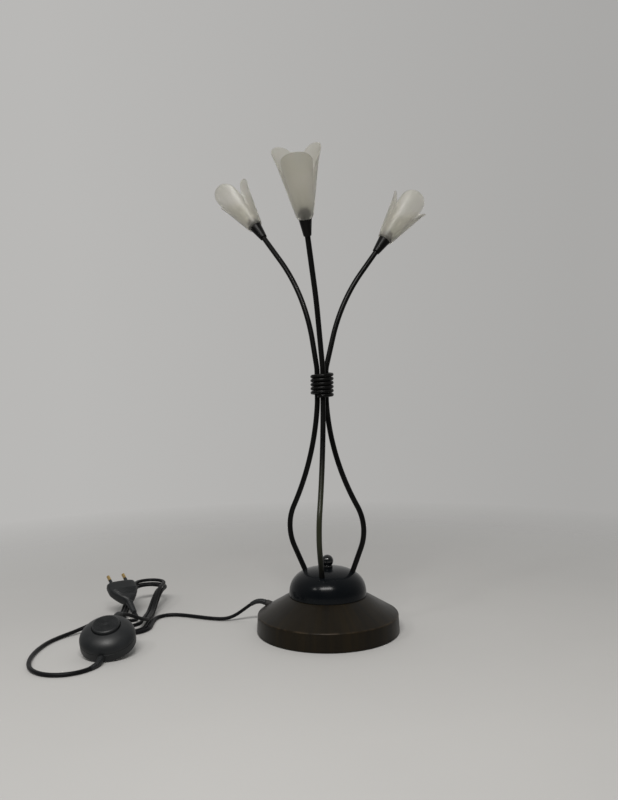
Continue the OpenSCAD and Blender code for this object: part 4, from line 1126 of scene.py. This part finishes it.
class TULIPLAMP_OT_plug(bpy.types.Operator):
    """Build the flat two-pin plug's moulded body"""

    bl_idname = "tuliplamp.plug"
    bl_label = "Plug"

    def execute(self, context):
        s = np.array([-20, -19.6, -12, -6, -1, 0, 2, 5, 9, 13.5, 17, 20.5, 25, 30, 32.6, 33.6, 34])
        half_w = np.array([2.5, 2.9, 3.3, 3.7, 4.2, 5.2, 6.6, 8.8, 11.6, 14.3, 16.1, 17.3, 17.5,
                           17.5, 17.3, 16.5, 15.3])
        half_t = np.array([2.5, 2.9, 3.3, 3.7, 4.2, 5.0, 6.0, 6.7, 6.9, 7.0, 7.0, 7.0, 7.0, 7.0,
                           6.8, 6.2, 5.2])
        fine = np.unique(np.concatenate([np.linspace(s[0], s[-1], 109), s]))
        w, t = np.interp(fine, s, half_w)[:, None], np.interp(fine, s, half_t)[:, None]
        groove = (fine > -17) & (fine < -2)
        ribs = np.where(groove, RIB_DEEP * np.cos(2 * np.pi * fine / RIB_PITCH), 0.0)[:, None]
        held = (fine > 8) & (fine < 20)
        grip = np.where(held, GRIP_DEEP * np.cos(2 * np.pi * fine / GRIP_PITCH) - GRIP_DEEP, 0.0)
        square = (2.0 + 1.6 * smooth((fine + 1) / 8))[:, None]
        a = 2 * np.pi * np.arange(72) / 72
        c, d = np.cos(a), np.sin(a)
        thick = t + ribs + grip[:, None] * (np.abs(d) < GRIP_WIDE)
        x = thick * np.sign(c) * np.abs(c) ** (2 / square)
        y = (w + ribs) * np.sign(d) * np.abs(d) ** (2 / square)
        grid = np.stack([x, y, fine[:, None] + 0 * x], -1)
        place = (turn_z(PLUG_DIR) @ turn_y(PLUG_TILT)).T
        points, faces = capped(grid)
        new_piece("plug_shell", (points @ place + PLUG_AT, faces), "black_plastic",
                  stands_for=("plug_body",))
        return {"FINISHED"}


class TULIPLAMP_OT_foot(bpy.types.Operator):
    """Build the foot's cone with its upright rim"""

    bl_idname = "tuliplamp.foot"
    bl_label = "Foot"

    def execute(self, context):
        props = context.scene.tuliplamp_foot
        r, rim = props.foot_r / MM, props.rim_h / MM
        under = LEDGE_Z - FOOT_SHEET
        profile = [(r, FOOT_EDGE_Z), (r - 1, rim), (LEDGE_R, LEDGE_Z), (FOOT_HOLE_R, LEDGE_Z),
                   (FOOT_HOLE_R, under), (LEDGE_IN_R, under), (r - 1 - FOOT_SHEET, rim - 0.86),
                   (r - FOOT_SHEET, FOOT_EDGE_Z)]
        profile = soft_corners(profile, [0.5, 1.0, 0.55, 0.2, 0.2, 0.3, 0.6, 0.3], steps=7)
        new_piece("foot_cone", looped(turned(finer(profile, 1.6), 256)), "bronze_paint",
                  stands_for=("base_shell",))
        return {"FINISHED"}


class TULIPLAMP_OT_dome(bpy.types.Operator):
    """Build the dome, its collar and the ball on top"""

    bl_idname = "tuliplamp.dome"
    bl_label = "Dome and ball"

    def execute(self, context):
        ball_r = context.scene.tuliplamp_foot.ball_r / MM
        outer = dome_profile(90, DOME_R, DOME_H)
        inner = dome_profile(60, DOME_R - DOME_T, DOME_H - DOME_T)[::-1]
        outer = np.concatenate([[[DOME_R - 0.35, 0.0], [DOME_R - 0.08, 0.12]],
                                outer[(outer[:, 1] > 0.5) & (outer[:, 0] > DOME_HOLE_R)],
                                [[DOME_HOLE_R, DOME_H]]])
        inner = np.concatenate([[[DOME_HOLE_R, DOME_H - DOME_T]],
                                inner[inner[:, 0] > DOME_HOLE_R]])
        profile = np.concatenate([outer, inner]) + [0, LEDGE_Z]
        new_piece("dome", looped(turned(profile, 256)), "dome_paint", stands_for=("dome_cover",))

        low = DOME_TOP + COLLAR_H
        collar = soft_corners([(COLLAR_HOLE_R, DOME_TOP), (COLLAR_R, DOME_TOP), (COLLAR_R, low),
                               (COLLAR_HOLE_R, low)], [0.1, 0.3, 0.7, 0.1], steps=7)
        new_piece("ball_collar", looped(turned(collar, 96)), "ball_paint",
                  stands_for=("finial_collar",))

        middle = low + BALL_CUT * ball_r
        a = np.linspace(math.asin(-BALL_CUT), math.pi / 2 - 0.004, 90)
        ball = np.stack([ball_r * np.cos(a), middle + ball_r * np.sin(a)], -1)
        ball[0, 1] = low
        new_piece("ball", capped(turned(ball, 128)), "ball_paint", stands_for=("ball_finial",))
        return {"FINISHED"}


class TULIPLAMP_OT_arms(bpy.types.Operator):
    """Bend the three tubes from the dome through the binding to their cups"""

    bl_idname = "tuliplamp.arms"
    bl_label = "Tubes"

    def execute(self, context):
        props = context.scene.tuliplamp_arms
        outer, wall = props.tube_r / MM, props.tube_wall / MM
        for name, arm in ARMS.items():
            path, ways = arm_path(arm)
            f = math.radians(arm["up"])
            side = (math.cos(f), math.sin(f), 0.0)
            skins = [rings_along(path, ways, r, 32, up=side) for r in (outer, outer - wall)]
            grid = np.concatenate([skins[0], skins[1][::-1]])
            new_piece("tube_" + name, looped(grid), "tube_paint", stands_for=("arm_" + name,))
        return {"FINISHED"}


class TULIPLAMP_OT_binding(bpy.types.Operator):
    """Wind the wire that holds the three tubes together"""

    bl_idname = "tuliplamp.binding"
    bl_label = "Binding"

    def execute(self, context):
        props = context.scene.tuliplamp_arms
        wire, pitch = props.wire_r / MM, props.wire_pitch / MM
        mean = SEAT_R + TUBE_R + WIRE_SLACK + wire
        start = WIRE_START + WIRE_TRIM
        f = np.radians(np.linspace(start, WIRE_START + 360 * WIRE_TURNS, 640))
        z = BINDING[2] + (np.degrees(f) - WIRE_START) / 360 * pitch - WIRE_TURNS / 2 * pitch
        coil = np.stack([BINDING[0] + mean * np.sin(f), BINDING[1] - mean * np.cos(f), z], -1)
        # The lower end turns out towards the front: a quarter circle off the coil
        b = np.radians(np.linspace(84, 6, 14))[:, None]
        way, out = unit(coil[0] - coil[1]), outwards(start)
        tail = coil[0] + WIRE_BEND * (np.sin(b) * way + (1 - np.cos(b)) * out)
        tail = np.concatenate([tail[:1] + 0.5 * out, tail])
        path = np.concatenate([tail, coil])
        radius = np.full(len(path), wire)
        radius[:2] = wire * np.array([0.86, 1.0])
        radius[-1] = wire * 0.9
        rings = rings_along(path, ways_of(path), radius, 20)
        new_piece("binding_coil", capped(rings), "tube_paint", stands_for=("binding_wire",))
        return {"FINISHED"}


class TULIPLAMP_OT_cups(bpy.types.Operator):
    """Turn the three cups that hold the glass"""

    bl_idname = "tuliplamp.cups"
    bl_label = "Cups"

    def execute(self, context):
        profile = [(CUP_HOLE_R, 0.0), (CUP_FOOT_R, 0.0), (CUP_RIM_R, GLASS_FOOT),
                   (CUP_IN_R, GLASS_FOOT), (CUP_FLOOR_R, CUP_FLOOR), (CUP_HOLE_R, CUP_FLOOR)]
        profile = soft_corners(profile, [0.1, 0.5, 0.3, 0.2, 0.4, 0.1], steps=5)
        shape = looped(turned(finer(profile, 1.2), 96))
        for name, arm in ARMS.items():
            new_piece("cup_body_" + name, on_cup(shape, arm), "tube_paint",
                      stands_for=("cup_" + name,))
        return {"FINISHED"}


class TULIPLAMP_OT_bulbs(bpy.types.Operator):
    """Blow the three small bulbs with their pinched foot"""

    bl_idname = "tuliplamp.bulbs"
    bl_label = "Bulbs"

    def execute(self, context):
        r, shoulder = BULB_R, BULB_TOP - BULB_R
        a = np.linspace(0, math.pi / 2 - 0.01, 24)
        crown = np.stack([r * np.cos(a), shoulder + r * np.sin(a)], -1)
        foot = soft_corners([(0.02, BULB_FOOT), (3.9, BULB_FOOT), (4.2, BULB_FOOT + 3.5),
                             (r, BULB_FOOT + 5.5), (r, shoulder)],
                            [0, 0.5, 1.2, 1.2, 0], loop=False)
        profile = finer(np.concatenate([foot, crown[1:]]), 1.2, loop=False)
        shape = capped(turned(profile, 64))
        for name, arm in ARMS.items():
            new_piece("bulb_glass_" + name, on_cup(shape, arm), "bulb_glass",
                      stands_for=("bulb_" + name,))
        return {"FINISHED"}


class TULIPLAMP_OT_flowers(bpy.types.Operator):
    """Press the three glass flowers"""

    bl_idname = "tuliplamp.flowers"
    bl_label = "Glass flowers"

    def execute(self, context):
        props = context.scene.tuliplamp_glass
        for name, arm in ARMS.items():
            shape = flower(props, arm["glass"], arm["mouth"])
            new_piece("flower_" + name, on_cup(shape, arm), "frosted_glass", sharp=60.0,
                      stands_for=("shade_" + name,))
        return {"FINISHED"}


class TULIPLAMP_OT_inner_parts(bpy.types.Operator):
    """Give every part that keeps its own solid the finish of its slot"""

    bl_idname = "tuliplamp.inner_parts"
    bl_label = "Inner parts"

    def execute(self, context):
        for part in frame["record"]["subparts"]:
            node = frame["nodes"].get(part["node"])
            if node is None:
                raise RuntimeError("no solid for " + part["node"])
            finish = bpy.data.materials[part["material_slot"]]
            node.data.materials.clear()
            node.data.materials.append(finish)
        return {"FINISHED"}


class TULIPLAMP_OT_studio(bpy.types.Operator):
    """Set the floor, the lights and the pale surroundings"""

    bl_idname = "tuliplamp.studio"
    bl_label = "Studio"

    def execute(self, context):
        props = context.scene.tuliplamp_studio
        scene = context.scene
        rows = np.array([0.02, 0.2, 0.5, 1.0, 1.8, 3.2])
        a = 2 * np.pi * np.arange(64) / 64
        grid = np.stack([rows[:, None] * np.cos(a), rows[:, None] * np.sin(a),
                         0 * rows[:, None] + 0 * a], -1)
        points = np.concatenate([grid.reshape(-1, 3), [[0, 0, 0]]])
        j = np.arange(64)
        centre = np.stack([np.full(64, len(points) - 1), j, (j + 1) % 64], -1)
        faces = ring_faces(len(rows), 64)[:, ::-1].tolist() + centre.tolist()
        mesh = bpy.data.meshes.new("floor")
        mesh.from_pydata(points.tolist(), [], faces)
        material, tree, skin, _ = finish_of(
            "floor_paper", props.floor, times(props.floor, 0.97), (0.75, 0.85),
            cloud=3.0, grain=300.0, bump=0.05, depth=0.0002, specular_ior_level=0.2)
        clear = add(tree, "ShaderNodeBsdfTransparent")
        far = add(tree, "ShaderNodeVectorMath", {0: object_place(tree)}, operation="LENGTH")
        fade = ranged(tree, far.outputs["Value"], *FLOOR_FADE)
        cover = add(tree, "ShaderNodeMixShader", {0: fade, 1: skin.outputs[0],
                                                  2: clear.outputs[0]})
        tree.links.new(cover.outputs[0], tree.nodes["Material Output"].inputs["Surface"])
        mesh.materials.append(material)
        floor = bpy.data.objects.new("floor", mesh)
        scene.collection.objects.link(floor)

        world = bpy.data.worlds.new("room")
        scene.world = world
        world.use_nodes = True
        tree = world.node_tree
        light = tree.nodes["Background"]
        light.inputs["Color"].default_value = rgba(ROOM_COLOUR)
        way = split(tree, add(tree, "ShaderNodeTexCoord").outputs["Generated"])
        behind = maths(tree, "ADD", way["Y"], maths(tree, "MULTIPLY", way["Z"], 0.5))
        level = ranged(tree, behind, -0.5, 0.9, 0.2 * props.ambient, 1.2 * props.ambient)
        tree.links.new(level, light.inputs["Strength"])
        # Painted light: the backdrop is lighter at the left and darker at the right, as light
        # falls across a wall
        left = ranged(tree, way["X"], -0.30, 0.30, 1.09, 0.89)
        seen = add(tree, "ShaderNodeBackground", {"Color": rgba(props.backdrop),
                                                  "Strength": left})
        ray = add(tree, "ShaderNodeLightPath")
        shown = maths(tree, "MAXIMUM", ray.outputs["Is Camera Ray"],
                      ray.outputs["Is Transmission Ray"])
        both = add(tree, "ShaderNodeMixShader", {0: shown, 1: light.outputs[0],
                                                 2: seen.outputs[0]})
        tree.links.new(both.outputs[0], tree.nodes["World Output"].inputs["Surface"])

        for name, place, wide, high, power in (
                ("key_light", (-0.12, -1.15, 1.35), 0.90, 0.30, props.key),
                ("side_light", (-0.80, -0.75, 0.95), 0.14, 0.14, props.side)):
            data = bpy.data.lights.new(name, "AREA")
            data.shape = "RECTANGLE"
            data.size, data.size_y = wide, high
            data.energy = power
            data.color = LIGHT_COLOUR
            lamp = bpy.data.objects.new(name, data)
            scene.collection.objects.link(lamp)
            back = unit(np.array(place) - np.array(LIGHT_AIM))
            side = unit(np.cross([0.0, 1.0, 0.01], back))
            matrix = np.eye(4)
            matrix[:3, :3] = np.stack([side, np.cross(back, side), back], -1)
            matrix[:3, 3] = place
            lamp.matrix_world = Matrix(matrix.tolist())
        scene.view_settings.view_transform = "Standard"
        return {"FINISHED"}


STEPS = (
    TULIPLAMP_OT_finishes,
    TULIPLAMP_OT_camera,
    TULIPLAMP_OT_switch,
    TULIPLAMP_OT_plug,
    TULIPLAMP_OT_cords,
    TULIPLAMP_OT_foot,
    TULIPLAMP_OT_dome,
    TULIPLAMP_OT_arms,
    TULIPLAMP_OT_binding,
    TULIPLAMP_OT_cups,
    TULIPLAMP_OT_bulbs,
    TULIPLAMP_OT_flowers,
    TULIPLAMP_OT_inner_parts,
    TULIPLAMP_OT_studio,
)


class TULIPLAMP_PT_panel(bpy.types.Panel):
    """The lamp's steps and settings"""

    bl_idname = "TULIPLAMP_PT_panel"
    bl_label = "Tulip Lamp"
    bl_space_type = "VIEW_3D"
    bl_region_type = "UI"
    bl_category = "Tulip Lamp"

    def draw(self, context):
        column = self.layout.column(align=True)
        for step in STEPS:
            column.operator(step.bl_idname)
        for title, key, _ in SETTINGS:
            box = self.layout.box()
            box.label(text=title)
            group = getattr(context.scene, key)
            for setting in group.bl_rna.properties:
                if setting.identifier in group.__annotations__:
                    box.prop(group, setting.identifier)


SETTINGS = (
    ("Foot", "tuliplamp_foot", TulipLampFoot),
    ("Tubes and cups", "tuliplamp_arms", TulipLampArms),
    ("Glass", "tuliplamp_glass", TulipLampGlass),
    ("Cord", "tuliplamp_cord", TulipLampCord),
    ("Studio", "tuliplamp_studio", TulipLampStudio),
)


def register():
    """Registers the settings, steps and panel."""
    for _, key, group in SETTINGS:
        bpy.utils.register_class(group)
        setattr(bpy.types.Scene, key, bpy.props.PointerProperty(type=group))
    for step in (*STEPS, TULIPLAMP_PT_panel):
        bpy.utils.register_class(step)


def unregister():
    """Takes them out again."""
    for step in (TULIPLAMP_PT_panel, *reversed(STEPS)):
        bpy.utils.unregister_class(step)
    for _, key, group in reversed(SETTINGS):
        delattr(bpy.types.Scene, key)
        bpy.utils.unregister_class(group)


def main():
    """Builds the lamp step by step."""
    register()
    for step in STEPS:
        family, name = step.bl_idname.split(".")
        getattr(getattr(bpy.ops, family), name)()


if __name__ == "__main__":
    main()
